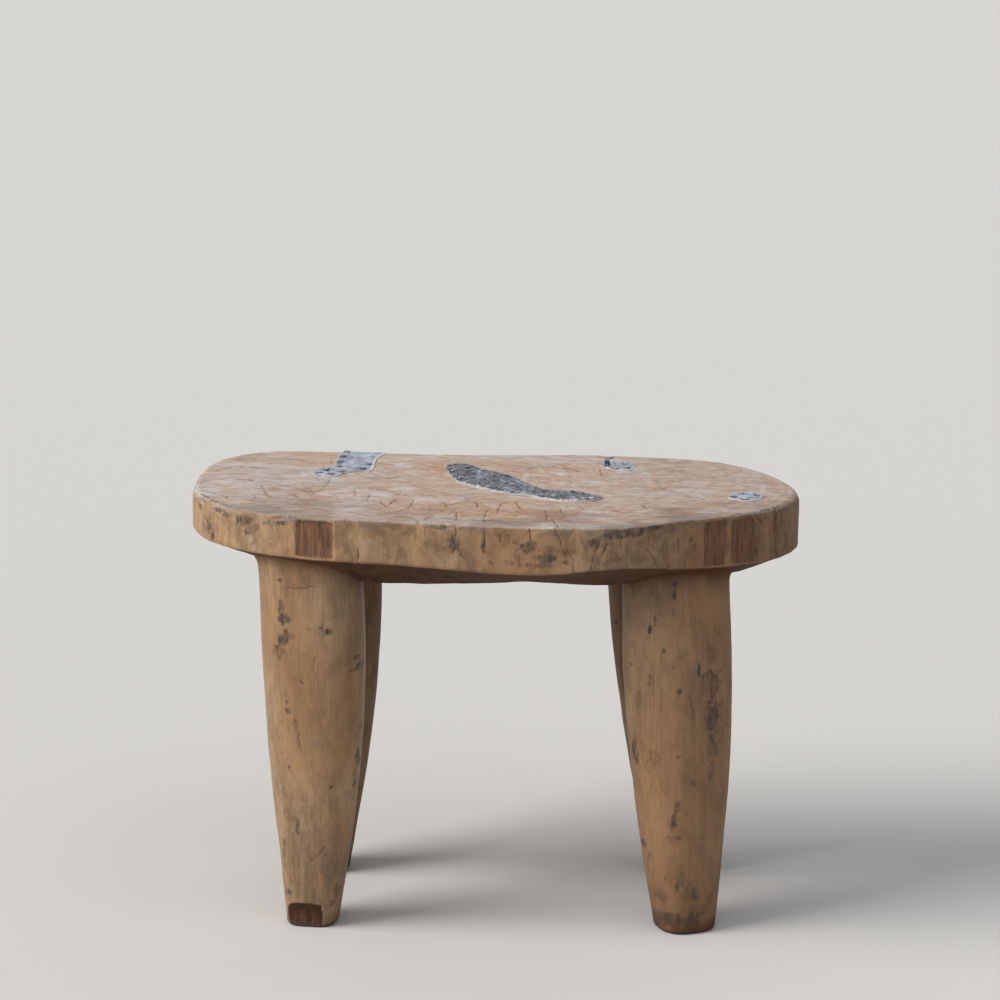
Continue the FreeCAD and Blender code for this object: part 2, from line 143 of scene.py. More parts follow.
# Drying cracks of the top: points along and across the seat
TOP_CRACKS = [
    [(-130, -2), (-128, -20), (-128, -38)], [(-115, -31), (-116, -46), (-115, -59)],
    [(-91, -44), (-94, -65)], [(-74, -47), (-74, -70), (-79, -99), (-88, -112)],
    [(-156, 55), (-156, 25), (-161, -7), (-167, -28)], [(-34, -118), (-33, -135), (-33, -152)],
    [(-4, -95), (-8, -119), (-9, -158)], [(3, -88), (3, -118)], [(45, -94), (46, -110), (45, -138)],
    [(50, -138), (55, -174)], [(-67, -160), (-66, -187)], [(59, -84), (59, -104)],
    [(-16, -67), (-16, -87)], [(100, 108), (102, 84)], [(134, -60), (135, -84)], [(184, -20), (190, -38)],
]

# Thin rust-brown lines of the top, drawn out along the grain: strength, then points
TOP_LINES = [
    (0.8, [(-276, 10), (-258, 22), (-244, 23), (-227, 18)]),
    (0.6, [(-238, 51), (-230, 78), (-219, 105), (-208, 110)]),
    (0.5, [(-254, 122), (-231, 129), (-186, 126)]),
    (0.45, [(-265, 55), (-261, 75), (-246, 87), (-231, 86)]), (0.35, [(-274, -1), (-253, -5), (-232, 3)]),
    (0.8, [(-215, -11), (-209, -42), (-204, -59)]), (0.5, [(-228, -19), (-222, -43), (-216, -64)]),
    (1.0, [(-188, -39), (-184, -45), (-179, -52)]),
    (0.5, [(-201, 6), (-186, -6), (-172, -23), (-162, -67)]),
    (0.5, [(-179, -11), (-168, -15), (-157, 1)]), (0.6, [(-171, -9), (-166, -31)]),
    (0.7, [(-126, 2), (-109, -1), (-89, -14)]), (1.0, [(-104, -64), (-97, -88), (-94, -65), (-89, -53)]),
    (0.4, [(-148, -29), (-142, -55), (-133, -46)]), (0.4, [(-264, 141), (-241, 146)]),
    (0.4, [(-205, 54), (-199, 19)]), (0.45, [(-160, 132), (-159, 105)]), (0.5, [(-170, 52), (-163, 24)]),
    (0.7, [(-92, -21), (-82, -26)]), (0.5, [(-78, 15), (-62, 4), (-45, -1)]),
    (0.7, [(-78, -99), (-85, -111)]), (0.5, [(-58, -103), (-59, -80), (-55, -72), (-49, -82)]),
    (0.9, [(-63, -100), (-55, -104), (-47, -107)]),
    (0.9, [(-47, -57), (-44, -85), (-43, -74), (-35, -66), (-25, -55)]),
    (0.8, [(-38, -111), (-40, -129)]), (0.8, [(-19, -54), (-16, -77), (-15, -63), (-8, -60)]),
    (1.0, [(11, -55), (4, -62), (3, -87), (5, -102), (11, -109), (18, -123)]),
    (1.0, [(19, -54), (21, -78), (24, -101), (28, -108), (26, -117), (22, -114), (19, -101)]),
    (0.7, [(36, -115), (44, -116), (49, -121)]),
    (0.9, [(59, -84), (60, -106), (60, -127), (66, -120), (71, -113)]),
    (0.8, [(73, -51), (78, -83), (75, -99), (71, -106)]), (0.4, [(72, -132), (91, -142)]),
    (0.5, [(-68, -28), (-52, -28), (-39, -19)]), (0.4, [(-27, -83), (-20, -89)]),
    (0.8, [(153, 26), (166, 4), (177, -17), (185, -39)]), (0.5, [(220, 78), (228, 95)]),
    (0.5, [(106, -99), (121, -114), (133, -109)]), (0.5, [(88, -62), (101, -75), (110, -99)]),
    (0.4, [(165, 59), (181, 44)]), (0.4, [(225, 40), (240, 26)]), (0.4, [(126, 3), (142, -9)]),
]

# Thin blue-grey lines of the top, most of them beside its front edge: strength, then points
TOP_STREAKS = [
    (0.8, [(-120, 59), (-111, 50), (-99, 55), (-91, 59)]), (0.7, [(-267, -34), (-248, -57), (-237, -75)]),
    (0.7, [(-223, -76), (-210, -81)]), (0.8, [(-201, -107), (-186, -100), (-174, -105)]),
    (0.8, [(-156, -115), (-126, -124), (-107, -140), (-92, -128)]), (0.6, [(-126, -122), (-115, -132)]),
    (0.9, [(-44, -144), (-34, -149), (-14, -153), (-2, -153), (12, -163), (39, -165)]),
    (0.7, [(29, 105), (41, 111), (54, 115), (70, 107), (79, 99)]), (0.9, [(-32, -22), (-25, -46)]),
    (0.7, [(-61, -150), (-57, -139)]), (0.7, [(-88, -136), (-73, -143), (-68, -154)]),
    (0.5, [(120, -138), (150, -122), (180, -108)]), (0.9, [(-266, -52), (-254, -78), (-236, -103)]),
    (0.9, [(200, -116), (232, -93), (254, -68), (267, -40)]),
]

# Marks on the front legs: place along the seat, height, half width, half height, strength
LEG_SMUDGES = {
    "front_left": [
        (-190, 308, 5, 10, 0.5), (-187, 296, 6, 7, 0.6), (-185, 284, 5, 5, 0.55), (-189, 276, 7, 8, 0.8),
        (-191, 266, 5, 7, 0.9), (-180, 281, 5, 5, 0.4), (-147, 285, 4, 4, 0.85), (-155, 289, 4, 3, 0.5),
        (-164, 288, 3, 3, 0.45), (-192, 331, 4, 2.5, 0.6), (-169, 332, 3, 3, 0.35), (-185, 219, 3, 4, 0.95),
        (-184, 211, 2.5, 4, 0.8), (-122, 258, 5, 3, 0.55), (-120, 250, 4, 5, 0.6), (-126, 247, 5, 2, 0.5),
        (-121, 190, 2.5, 5, 0.8), (-146, 139, 3, 5, 0.7), (-177, 99, 2.5, 9, 0.85), (-179, 108, 2, 4, 0.5),
        (-190, 82, 2, 5, 0.8), (-190, 70, 2, 7, 0.7), (-186, 34, 4, 5, 0.55), (-123, 160, 2.5, 9, 0.75),
        (-125, 150, 2.5, 6, 0.7), (-126, 139, 2.5, 5, 0.55), (-142, 36, 3, 10, 0.45), (-146, 24, 4, 4, 0.4),
        (-185, 158, 4, 3, 0.35), (-188, 135, 3, 5, 0.3), (-178, 196, 4, 8, 0.3), (-170, 240, 4, 5, 0.3),
        (-190, 60, 3, 6, 0.4), (-152, 21, 6, 3, 0.35),
    ],
    "front_right": [
        (160, 328, 3, 4, 0.85), (160, 319, 2.5, 6, 0.75), (159, 303, 2.5, 4, 0.4), (143, 296, 2, 6, 0.7),
        (138, 286, 2.5, 5, 0.65), (136, 279, 2, 3, 0.5), (124, 251, 2, 2, 0.7), (160, 252, 3, 2.5, 0.6),
        (151, 268, 3, 3, 0.5), (166, 231, 4, 4, 0.75), (183, 248, 2.5, 8, 0.95), (187, 236, 2.5, 9, 0.95),
        (193, 262, 7, 14, 0.45), (195, 236, 8, 18, 0.6), (196, 205, 8, 20, 0.65), (197, 178, 7, 18, 0.6),
        (197, 155, 6, 16, 0.4), (127, 172, 2, 9, 0.9), (130, 164, 2, 6, 0.7), (143, 168, 8, 9, 0.35),
        (180, 146, 2.5, 6, 0.8), (166, 124, 4, 8, 0.6), (163, 108, 4, 9, 0.65), (163, 94, 8, 3, 0.4),
        (143, 72, 3, 7, 0.35), (138, 80, 3, 6, 0.5), (166, 170, 4, 1.5, 0.6), (128, 134, 2, 4, 0.4),
        (170, 52, 12, 10, 0.4), (180, 40, 8, 10, 0.45), (152, 34, 8, 8, 0.35), (162, 14, 22, 8, 0.55),
        (184, 16, 10, 8, 0.55), (148, 10, 8, 6, 0.5), (130, 228, 2.5, 3, 0.45), (150, 216, 3, 5, 0.35),
        (140, 240, 4, 8, 0.35), (205, 190, 3, 30, 0.35),
    ],
}
LEG_CRACKS = {
    "front_left": [[(-186, 324), (-172, 323), (-158, 325)], [(-168, 62), (-160, 72), (-152, 82)],
                   [(-152, 300), (-151, 282)], [(-160, 262), (-161, 250)], [(-174, 190), (-173, 176)]],
    "front_right": [[(137, 320), (138, 296), (139, 276)], [(173, 228), (178, 212), (180, 198)],
                    [(150, 232), (151, 214)], [(142, 252), (143, 238)]],
}

# Painted shade on each leg: all over, and more on its right side, which faces away from the light
LEG_PAINTED_SHADE = {
    "front_left": (0.0, 0.17),
    "front_right": (0.28, 0.16),
    "rear_left": (0.42, 0.1),
    "rear_right": (0.45, 0.1),
}

# Heart of the log on the top, and how much its rings are drawn out along and across the seat
HEART = (-203, 60)
RING_STRETCH = (0.8, 1.1)

# Chip broken off the front left foot: width, height, depth and turn in degrees
CHIP = (34.0, 25.0, 5.0, -10)

# Each patch: name, sheet thickness, middle as shares of half the seat, width and depth, its far and near
# edges from the left end to the right end and its nails as shares of half the patch, how far it is
# crumpled in millimetres, the seed of its noise, and the finishes of its sheet and of its nails
PATCHES = {
    "left_patch": dict(
        sheet=1.0, place=(-0.497, 0.673), size=(69.0, 125.0),
        far=[(-0.86, -0.97), (-1.0, -0.76), (-0.89, -0.56), (-0.47, -0.29), (-0.42, 0.06), (-0.31, 0.9),
             (-0.28, 1.25)],
        near=[(-0.69, -1.0), (-0.34, -0.98), (-0.09, -0.75), (0.31, -0.53), (0.6, -0.52), (0.71, 0.29),
              (1.0, 0.97), (0.95, 1.25)],
        nails=[(-0.18, 0.76), (-0.26, 0.42), (-0.3, 0.08), (-0.32, -0.24), (-0.62, -0.52), (-0.8, -0.76),
               (-0.46, -0.85), (-0.2, -0.66), (0.36, -0.38), (0.53, -0.09)],
        crumple=0.5, seed=11, finish="bright_sheet", nail_finish="nail_iron"),
    "centre_patch": dict(
        sheet=1.6, place=(0.089, 0.195), size=(145.0, 173.0),
        far=[(-1.0, 0.72), (-0.98, 0.88), (-0.84, 0.93), (-0.68, 0.87), (-0.52, 0.67), (-0.28, 0.5),
             (-0.1, 0.3), (0.15, -0.18), (0.3, -0.34), (0.62, -0.41), (0.87, -0.56), (1.0, -0.71)],
        near=[(-0.99, 0.66), (-0.94, 0.4), (-0.84, 0.05), (-0.6, -0.23), (-0.33, -0.46), (0.15, -0.74),
              (0.5, -0.9), (0.82, -0.9), (1.0, -0.74)],
        nails=[(-0.9, 0.6), (-0.74, 0.77), (-0.8, 0.26), (-0.38, 0.38), (-0.44, -0.24), (-0.06, -0.18),
               (0.4, -0.68), (0.87, -0.77)],
        crumple=1.5, seed=23, finish="dark_sheet", nail_finish="nail_iron"),
    "back_patch": dict(
        sheet=1.0, place=(0.416, 0.688), size=(33.0, 37.0),
        far=[(-1.0, 0.1), (-0.8, 0.76), (-0.27, 1.0), (0.43, 0.92), (0.93, 0.39)],
        near=[(-0.98, 0.0), (-0.73, -0.45), (-0.08, -0.92), (0.66, -0.98), (1.0, -0.2), (0.98, 0.2)],
        nails=[(0.5, 0.5), (-0.1, -0.5), (0.58, -0.4), (-0.68, 0.2)],
        crumple=0.4, seed=37, finish="bright_sheet", nail_finish="nail_tin"),
    "right_patch": dict(
        sheet=1.0, place=(0.8105, -0.149), size=(34.0, 39.0),
        far=[(-1.0, -0.2), (-0.7, 0.6), (-0.3, 0.9), (0.45, 1.0), (1.0, 0.44)],
        near=[(-0.96, -0.4), (-0.6, -0.72), (-0.12, -1.0), (0.36, -0.94), (0.78, -0.42), (0.98, 0.2)],
        nails=[(-0.66, -0.06), (-0.14, 0.68), (0.66, 0.46), (0.5, -0.3), (-0.08, -0.7)],
        crumple=0.4, seed=53, finish="bright_sheet", nail_finish="nail_tin"),
}

# Sliver curled up from the back patch: place as shares of half the patch, its lean from the seat's length
# and the turns at its two ends in degrees, radius and how much that shrinks, thickness, half width and how
# much that grows, and points along and across it
CURL = dict(place=(-0.5, 0.35), lean=62, turns=(250, 30), radius=4.0, tightening=0.8, sheet=0.8,
            half_width=2.6, flare=1.4, along=60, across=24)

# Each metal: how far it is metal, its roughness, its blotches per metre, and their contrast and middle
METALS = {
    "bright_sheet": dict(metallic=0.75, rough=0.42),
    "dark_sheet": dict(metallic=0.75, rough=0.34, grain=(280, 380, 300), contrast=0.085, middle=0.57),
    "nail_iron": dict(metallic=0.7, rough=0.42),
    "nail_tin": dict(metallic=0.7, rough=0.46),
}

# Marks on the metal, as linear colours: dirt with painted shade, rust, and bare metal with painted highlights
METAL_DIRT_AND_SHADE = (0.035, 0.035, 0.04)
METAL_RUST = (0.09, 0.05, 0.035)
METAL_BARE_AND_HIGHLIGHT = (0.8, 0.82, 0.85)

# Marks on the wood, as linear colours
SIDE_GRIME = (0.16, 0.1, 0.062)
SIDE_FLECKS = (0.085, 0.05, 0.03)
TOP_BROWN = (0.25, 0.155, 0.108)
TOP_BLEACHED = (0.78, 0.72, 0.67)
TOP_PORES = (0.25, 0.16, 0.11)
TOP_RINGS = (0.36, 0.2, 0.12)
RUST_DASHES = (0.4, 0.18, 0.085)
RUST_LOOPS = (0.38, 0.17, 0.075)
RUST_RANGE = ((0.33, 0.14, 0.055), (0.5, 0.25, 0.12))
GREY_SIDE = (0.2, 0.17, 0.15)
GREY_TOP = (0.37, 0.345, 0.34)
PALE_RANGE = ((0.43, 0.395, 0.38), (0.63, 0.6, 0.59))
BARK_RANGE = ((0.09, 0.045, 0.026), (0.255, 0.122, 0.064))
SMUDGE = (0.043, 0.036, 0.033)
LINE_RANGE = ((0.18, 0.075, 0.035), (0.34, 0.16, 0.085))
STREAK = (0.15, 0.135, 0.13)
CRACK = (0.045, 0.027, 0.019)

# Lamps: name, direction of the light, softness in degrees and colour
KEY = ("key", (0.82, 0.24, -0.56), 38, (1.0, 0.97, 0.92))
FILL = ("fill", (-0.3, 0.75, -0.75), 90, (0.95, 0.97, 1.0))
FLOOR_SIZE = 200
FLOOR_COLOUR = (0.72, 0.71, 0.7, 1)
BACKDROP_COLOUR = (0.97, 0.98, 1.0, 1)


# Settings


def a_length(name, description, default):
    """Length that a user can change, in metres."""
    return FloatProperty(name=name, description=description, default=default, unit="LENGTH")


def an_angle(name, description, degrees):
    """Angle that a user can change, from its default in degrees."""
    return FloatProperty(name=name, description=description, default=math.radians(degrees), subtype="ANGLE")


def a_count(name, description, default, least):
    """Whole number that a user can change."""
    return IntProperty(name=name, description=description, default=default, min=least)


def a_colour(name, description, default):
    """Colour that a user can change, as linear values."""
    return FloatVectorProperty(name=name, description=description, default=default, subtype="COLOR",
                               min=0.0, max=1.0)


class SeatSettings(PropertyGroup):
    """Sizes of the seat"""

    length: a_length("Length", "Longest size of the seat", 0.564)
    depth: a_length("Depth", "Size of the seat from front to back", 0.355)
    height: a_length("Height", "Height of the top's middle", 0.391)
    fall: a_length("Fall", "Fall of the top from left to right", 0.005)
    rim: a_length("Rim", "Height of the upright rim", 0.043)
    rim_fall: a_length("Rim fall", "Fall of the rim's lower edge", 0.016)
    rim_sag: a_length("Rim sag", "Sag of the rim's edge at its ends", 0.0035)
    bevel: a_length("Bevel", "Drop from the rim to the underside", 0.0225)
    bevel_angle: an_angle("Bevel angle", "Slope of the bevel", 23.0)
    top_round: a_length("Top round", "Radius of the worn top edge", 0.009)
    low_round: a_length("Low round", "Radius of the rim's lower edge", 0.003)
    dish: a_length("Dish", "Depth to which the top is worn", 0.003)
    columns: a_count("Columns", "Grid columns round the seat", 1000, 16)


class LegSettings(PropertyGroup):
    """Sizes of the legs"""

    top_width: a_length("Top width", "Width of a leg at its top", 0.095)
    top_depth: a_length("Top depth", "Depth of a leg at its top", 0.088)
    foot_width: a_length("Foot width", "Width of a foot", 0.051)
    foot_depth: a_length("Foot depth", "Depth of a foot", 0.050)
    embed: a_length("Embed", "How far a leg runs on above the rim's edge", 0.006)
    squareness: FloatProperty(name="Squareness", description="2 is oval, more is squarer", default=2.6,
                              min=2.0)
    columns: a_count("Columns", "Grid columns round a leg", 250, 12)
    rows: a_count("Rows", "Grid rows up a leg", 310, 12)


class MetalSettings(PropertyGroup):
    """Sizes of the nails and the grid of the sheet metal"""

    head: a_length("Head", "Width of a nail head", 0.0064)
    head_thickness: a_length("Head thickness", "Thickness of a nail head", 0.0013)
    shank: a_length("Shank", "Width of a nail's shank", 0.0024)
    nail_length: a_length("Nail length", "Length under the head", 0.024)
    spacing: a_length("Spacing", "Grid spacing of the sheet metal", 0.0007)


class FinishSettings(PropertyGroup):
    """Main colours of the wood and the metal"""

    side_dark: a_colour("Side, dark", "Dark fibres of the rim and legs", (0.2, 0.122, 0.068))
    side_light: a_colour("Side, light", "Light fibres of the rim and legs", (0.46, 0.305, 0.178))
    side_orange: a_colour("Side, orange", "Broad warm areas of the rim and legs", (0.38, 0.2, 0.092))
    top_dark: a_colour("Top, dark", "Dark mottling of the top", (0.4, 0.295, 0.225))
    top_light: a_colour("Top, light", "Light mottling of the top", (0.6, 0.5, 0.435))
    top_warm: a_colour("Top, warm", "Broad warm areas of the top", (0.5, 0.335, 0.225))
    # Tint multiplied in where the wood is dark: real dirt, and painted shade on the bevel, underside, rim's
    # right end and legs
    dirt: a_colour("Dirt", "Tint of the darkened wood", (0.21, 0.13, 0.08))
    bright_sheet_dark: a_colour("Bright sheet, dark", "Dark blotches of small patches", (0.22, 0.25, 0.31))
    bright_sheet_light: a_colour("Bright sheet, light", "Light blotches of small patches", (0.42, 0.46, 0.53))
    dark_sheet_dark: a_colour("Dark sheet, dark", "Dark blotches of the centre patch", (0.018, 0.02, 0.03))
    dark_sheet_light: a_colour("Dark sheet, light", "Light blotches of the centre patch", (0.25, 0.28, 0.36))
    nail_iron_dark: a_colour("Iron, dark", "Dark blotches of the iron nails", (0.16, 0.17, 0.19))
    nail_iron_light: a_colour("Iron, light", "Light blotches of the iron nails", (0.43, 0.45, 0.5))
    nail_tin_dark: a_colour("Tin, dark", "Dark blotches of the paler nails", (0.26, 0.28, 0.33))
    nail_tin_light: a_colour("Tin, light", "Light blotches of the paler nails", (0.46, 0.49, 0.55))


class StageSettings(PropertyGroup):
    """Camera and light"""

    camera: FloatVectorProperty(name="Camera", description="Place of the camera",
                                default=(0.00415, -2.540, 0.888), subtype="TRANSLATION")
    pitch: an_angle("Pitch", "Downward tilt of the camera", 11.32)
    roll: an_angle("Roll", "Roll of the camera", 0.4)
    lens: FloatProperty(name="Lens", description="Focal length for a 36 mm sensor", default=100.8,
                        unit="CAMERA")
    key: FloatProperty(name="Key", description="Strength of the main light", default=2.9)
    fill: FloatProperty(name="Fill", description="Strength of the soft light from the front", default=0.35)
    ambient: FloatProperty(name="Ambient", description="Strength of the light from all round", default=0.36)


def in_mm(group):
    """Every length of a settings group in millimetres, by name."""
    values = {}
    for name in group.__annotations__:
        value = getattr(group, name)
        is_length = group.bl_rna.properties[name].unit == "LENGTH"
        values[name] = value / MM if is_length else value
    return values


# Noise and curves


def lattice(ix, iy, iz, seed):
    """Repeatable values from 0 to 1 on whole-number places, by mixing their bits."""
    mixed = (ix * 374761393 + iy * 668265263 + iz * 1274126177 + seed * 974634777) & 0xFFFFFFFF
    mixed = ((mixed ^ (mixed >> 13)) * 1103515245) & 0xFFFFFFFF
    mixed = ((mixed ^ (mixed >> 16)) * 2246822519) & 0xFFFFFFFF
    return (mixed ^ (mixed >> 15)) / 0xFFFFFFFF


def noise(points, size, seed):
    """Smooth noise from -1 to 1: lattice values blended along each axis by 6t^5 - 15t^4 + 10t^3."""
    scaled = points / np.asarray(size, float)
    base = np.floor(scaled).astype(np.int64)
    t = scaled - base
    t = t * t * t * (t * (t * 6 - 15) + 10)
    total = np.zeros(points.shape[:-1])
    for dx in (0, 1):
        wx = t[..., 0] if dx else 1 - t[..., 0]
        for dy in (0, 1):
            wy = t[..., 1] if dy else 1 - t[..., 1]
            for dz in (0, 1):
                wz = t[..., 2] if dz else 1 - t[..., 2]
                value = lattice(base[..., 0] + dx, base[..., 1] + dy, base[..., 2] + dz, seed)
                total += wx * wy * wz * value
    return total * 2 - 1


def fractal(points, size, seed, octaves=4):
    """Noise summed over octaves, each half as large and half as strong as the one before."""
    size = np.asarray(size, float)
    total = 0.0
    weight = 0.5
    for octave in range(octaves):
        total = total + weight * noise(points, size / 2 ** octave, seed + octave)
        weight /= 2
    return total


def held_in(relief, most=0.3):
    """Relief that is rounded off before it rises above a most: the soft lesser of the two."""
    return most - np.logaddexp(0, (most - relief) * 5) / 5


def flat_points(x, y):
    """Points at height 0, which noise on the top is read at."""
    return np.stack([x, y, np.zeros_like(x)], axis=-1)


def smooth(value, low, high):
    """0 below the low value, 1 above the high one, and 3t^2 - 2t^3 between."""
    t = np.clip((value - low) / (high - low), 0, 1)
    return t * t * (3 - 2 * t)


def blobs(table, along, up, rag):
    """Strongest of a table of soft ellipses at each place; rag roughens their edges."""
    total = np.zeros(np.shape(along))
    for x, z, half_x, half_z, strength in table:
        radius = np.hypot((along - x) / half_x, (up - z) / half_z) + rag
        total = np.maximum(total, strength * (1 - smooth(radius, 0.45, 1.2)))
    return total


def lines_at(table, x, y, drawn_out):
    """Signed distance across the nearest of a table's lines, and that line's strength beside it."""
    nearest = np.full(np.shape(x), 99.0)
    across = np.full(np.shape(x), 9.0)
    shown = np.zeros(np.shape(x))
    for strength, points in table:
        distance, side = cracks_at([[(px, py / drawn_out) for px, py in points]], x, y / drawn_out)
        closer = distance < nearest
        nearest = np.where(closer, distance, nearest)
        across = np.where(closer, side, across)
        shown = np.where(closer, strength * (1 - smooth(distance, 1.0, 3.0)), shown)
    return across, shown


def cracks_at(table, along, up):
    """Distance to the nearest polyline of a table, and the signed distance across its nearest stretch."""
    nearest = np.full(np.shape(along), 99.0)
    across = np.full(np.shape(along), 9.0)
    for points in table:
        for (x0, z0), (x1, z1) in zip(points, points[1:]):
            run = math.hypot(x1 - x0, z1 - z0)
            along_line = ((along - x0) * (x1 - x0) + (up - z0) * (z1 - z0)) / run
            side = ((along - x0) * (z1 - z0) - (up - z0) * (x1 - x0)) / run
            distance = np.hypot(side, along_line - np.clip(along_line, 0, run))
            closer = distance < nearest
            nearest = np.where(closer, distance, nearest)
            across = np.where(closer, side, across)
    return nearest, across


class ClosedCurve:
    """Smooth closed curve through points: the cubic whose slope and bend match at each, worked out once."""

    def __init__(self, knots, values):
        self.knots = np.asarray(knots, float)
        self.values = np.vstack([values, values[:1]])
        step = np.diff(self.knots)
        count = len(step)
        matrix = np.zeros((count, count))
        right = np.zeros((count, self.values.shape[1]))
        slope = np.diff(self.values, axis=0) / step[:, None]
        for index in range(count):
            before = index - 1
            matrix[index, before] += step[before]
            matrix[index, index] += 2 * (step[before] + step[index])
            matrix[index, (index + 1) % count] += step[index]
            right[index] = 6 * (slope[index] - slope[before])
        bend = np.linalg.solve(matrix, right)
        self.bend = np.vstack([bend, bend[:1]])

    def at(self, u):
        """Points of the curve at shares of the way round."""
        u = np.mod(u, 1.0)
        span = np.clip(np.searchsorted(self.knots, u, side="right") - 1, 0, len(self.knots) - 2)
        step = (self.knots[span + 1] - self.knots[span])[..., None]
        a = (self.knots[span + 1] - u)[..., None] / step
        b = 1 - a
        curve = a * self.values[span] + b * self.values[span + 1]
        return curve + ((a ** 3 - a) * self.bend[span] + (b ** 3 - b) * self.bend[span + 1]) * step ** 2 / 6


def open_curve(points, count):
    """Evenly spaced points on a smooth curve through points, by cubic blends that pass through each."""
    points = np.asarray(points, float)
    padded = np.vstack([2 * points[0] - points[1], points, 2 * points[-1] - points[-2]])
    rows = []
    for index in range(len(points) - 1):
        p0, p1, p2, p3 = padded[index:index + 4]
        t = np.linspace(0, 1, 40, endpoint=index == len(points) - 2)[:, None]
        bend = 2 * p0 - 5 * p1 + 4 * p2 - p3 + t * (3 * (p1 - p2) + p3 - p0)
        rows.append(p1 + 0.5 * t * (p2 - p0 + t * bend))
    dense = np.vstack(rows)
    run = np.concatenate([[0], np.cumsum(np.linalg.norm(np.diff(dense, axis=0), axis=1))])
    even = np.linspace(0, run[-1], count)
    return np.stack([np.interp(even, run, dense[:, axis]) for axis in range(dense.shape[1])], axis=1)


# Grids and meshes


def grid_faces(rows, columns, wrap_rows=False, wrap_columns=False, first=0):
    """Quads of a grid whose vertices run along each row."""
    i = np.arange(rows if wrap_rows else rows - 1)[:, None]
    j = np.arange(columns if wrap_columns else columns - 1)[None, :]
    i2 = (i + 1) % rows
    j2 = (j + 1) % columns
    quads = np.stack([i * columns + j, i * columns + j2, i2 * columns + j2, i2 * columns + j], axis=-1)
    return quads.reshape(-1, 4) + first


def band_faces(ring, other):
    """Quads between two closed rings of vertices of the same count."""
    return np.stack([ring, np.roll(ring, -1), np.roll(other, -1), other], axis=1)


def grid_border(rows, columns):
    """Vertex numbers round the border of a grid, anticlockwise."""
    index = np.arange(rows * columns).reshape(rows, columns)
    return np.concatenate([index[0, :-1], index[:-1, -1], index[-1, :0:-1], index[:0:-1, 0]])


def sheet_faces(rows, columns):
    """Faces of a closed sheet from the vertices of its upper grid, then those of its lower grid."""
    border = grid_border(rows, columns)
    below = rows * columns
    rim = band_faces(border, border + below)
    return [grid_faces(rows, columns), grid_faces(rows, columns, first=below)[:, ::-1], rim[:, ::-1]]


def fan_faces(ring, centre, flip=False):
    """Triangles from a closed ring of vertices to a centre."""
    after = np.roll(ring, -1)
    middle = np.full(len(ring), centre)
    pair = (after, ring) if flip else (ring, after)
    return np.stack([*pair, middle], axis=1)


def grid_normals(grid, wrap_rows=False, wrap_columns=False):
    """Unit normals of a grid of points, from the differences of their neighbours."""
    def difference(axis, wrap):
        if wrap:
            return np.roll(grid, -1, axis) - np.roll(grid, 1, axis)
        return np.gradient(grid, axis=axis)

    normal = np.cross(difference(1, wrap_columns), difference(0, wrap_rows))
    length = np.linalg.norm(normal, axis=-1, keepdims=True)
    return normal / np.maximum(length, 1e-12)


def new_piece(name, vertices, faces, marks, node, material, sharp=50.0):
    """Object from vertices in millimetres and faces, with named values per vertex, that stands for a node."""
    mesh = bpy.data.meshes.new(name)
    vertices = np.asarray(vertices, float).reshape(-1, 3) * MM
    mesh.vertices.add(len(vertices))
    mesh.vertices.foreach_set("co", vertices.ravel())
    loops = np.concatenate([part.ravel() for part in faces])
    totals = np.concatenate([np.full(len(part), part.shape[1]) for part in faces])
    mesh.loops.add(len(loops))
    mesh.loops.foreach_set("vertex_index", loops.astype(np.int32))
    mesh.polygons.add(len(totals))
    starts = np.concatenate([[0], np.cumsum(totals)[:-1]])
    mesh.polygons.foreach_set("loop_start", starts.astype(np.int32))
    mesh.update(calc_edges=True)
    mesh.validate()
    mesh.shade_smooth()
    mesh.set_sharp_from_angle(angle=math.radians(sharp))
    for mark, values in marks.items():
        attribute = mesh.attributes.new(mark, "FLOAT", "POINT")
        attribute.data.foreach_set("value", np.asarray(values, np.float32).ravel())
    mesh.materials.append(material)
    piece = bpy.data.objects.new(name, mesh)
    bpy.context.scene.collection.objects.link(piece)
    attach(piece, "root")
    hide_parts(node)


# Shape of the seat


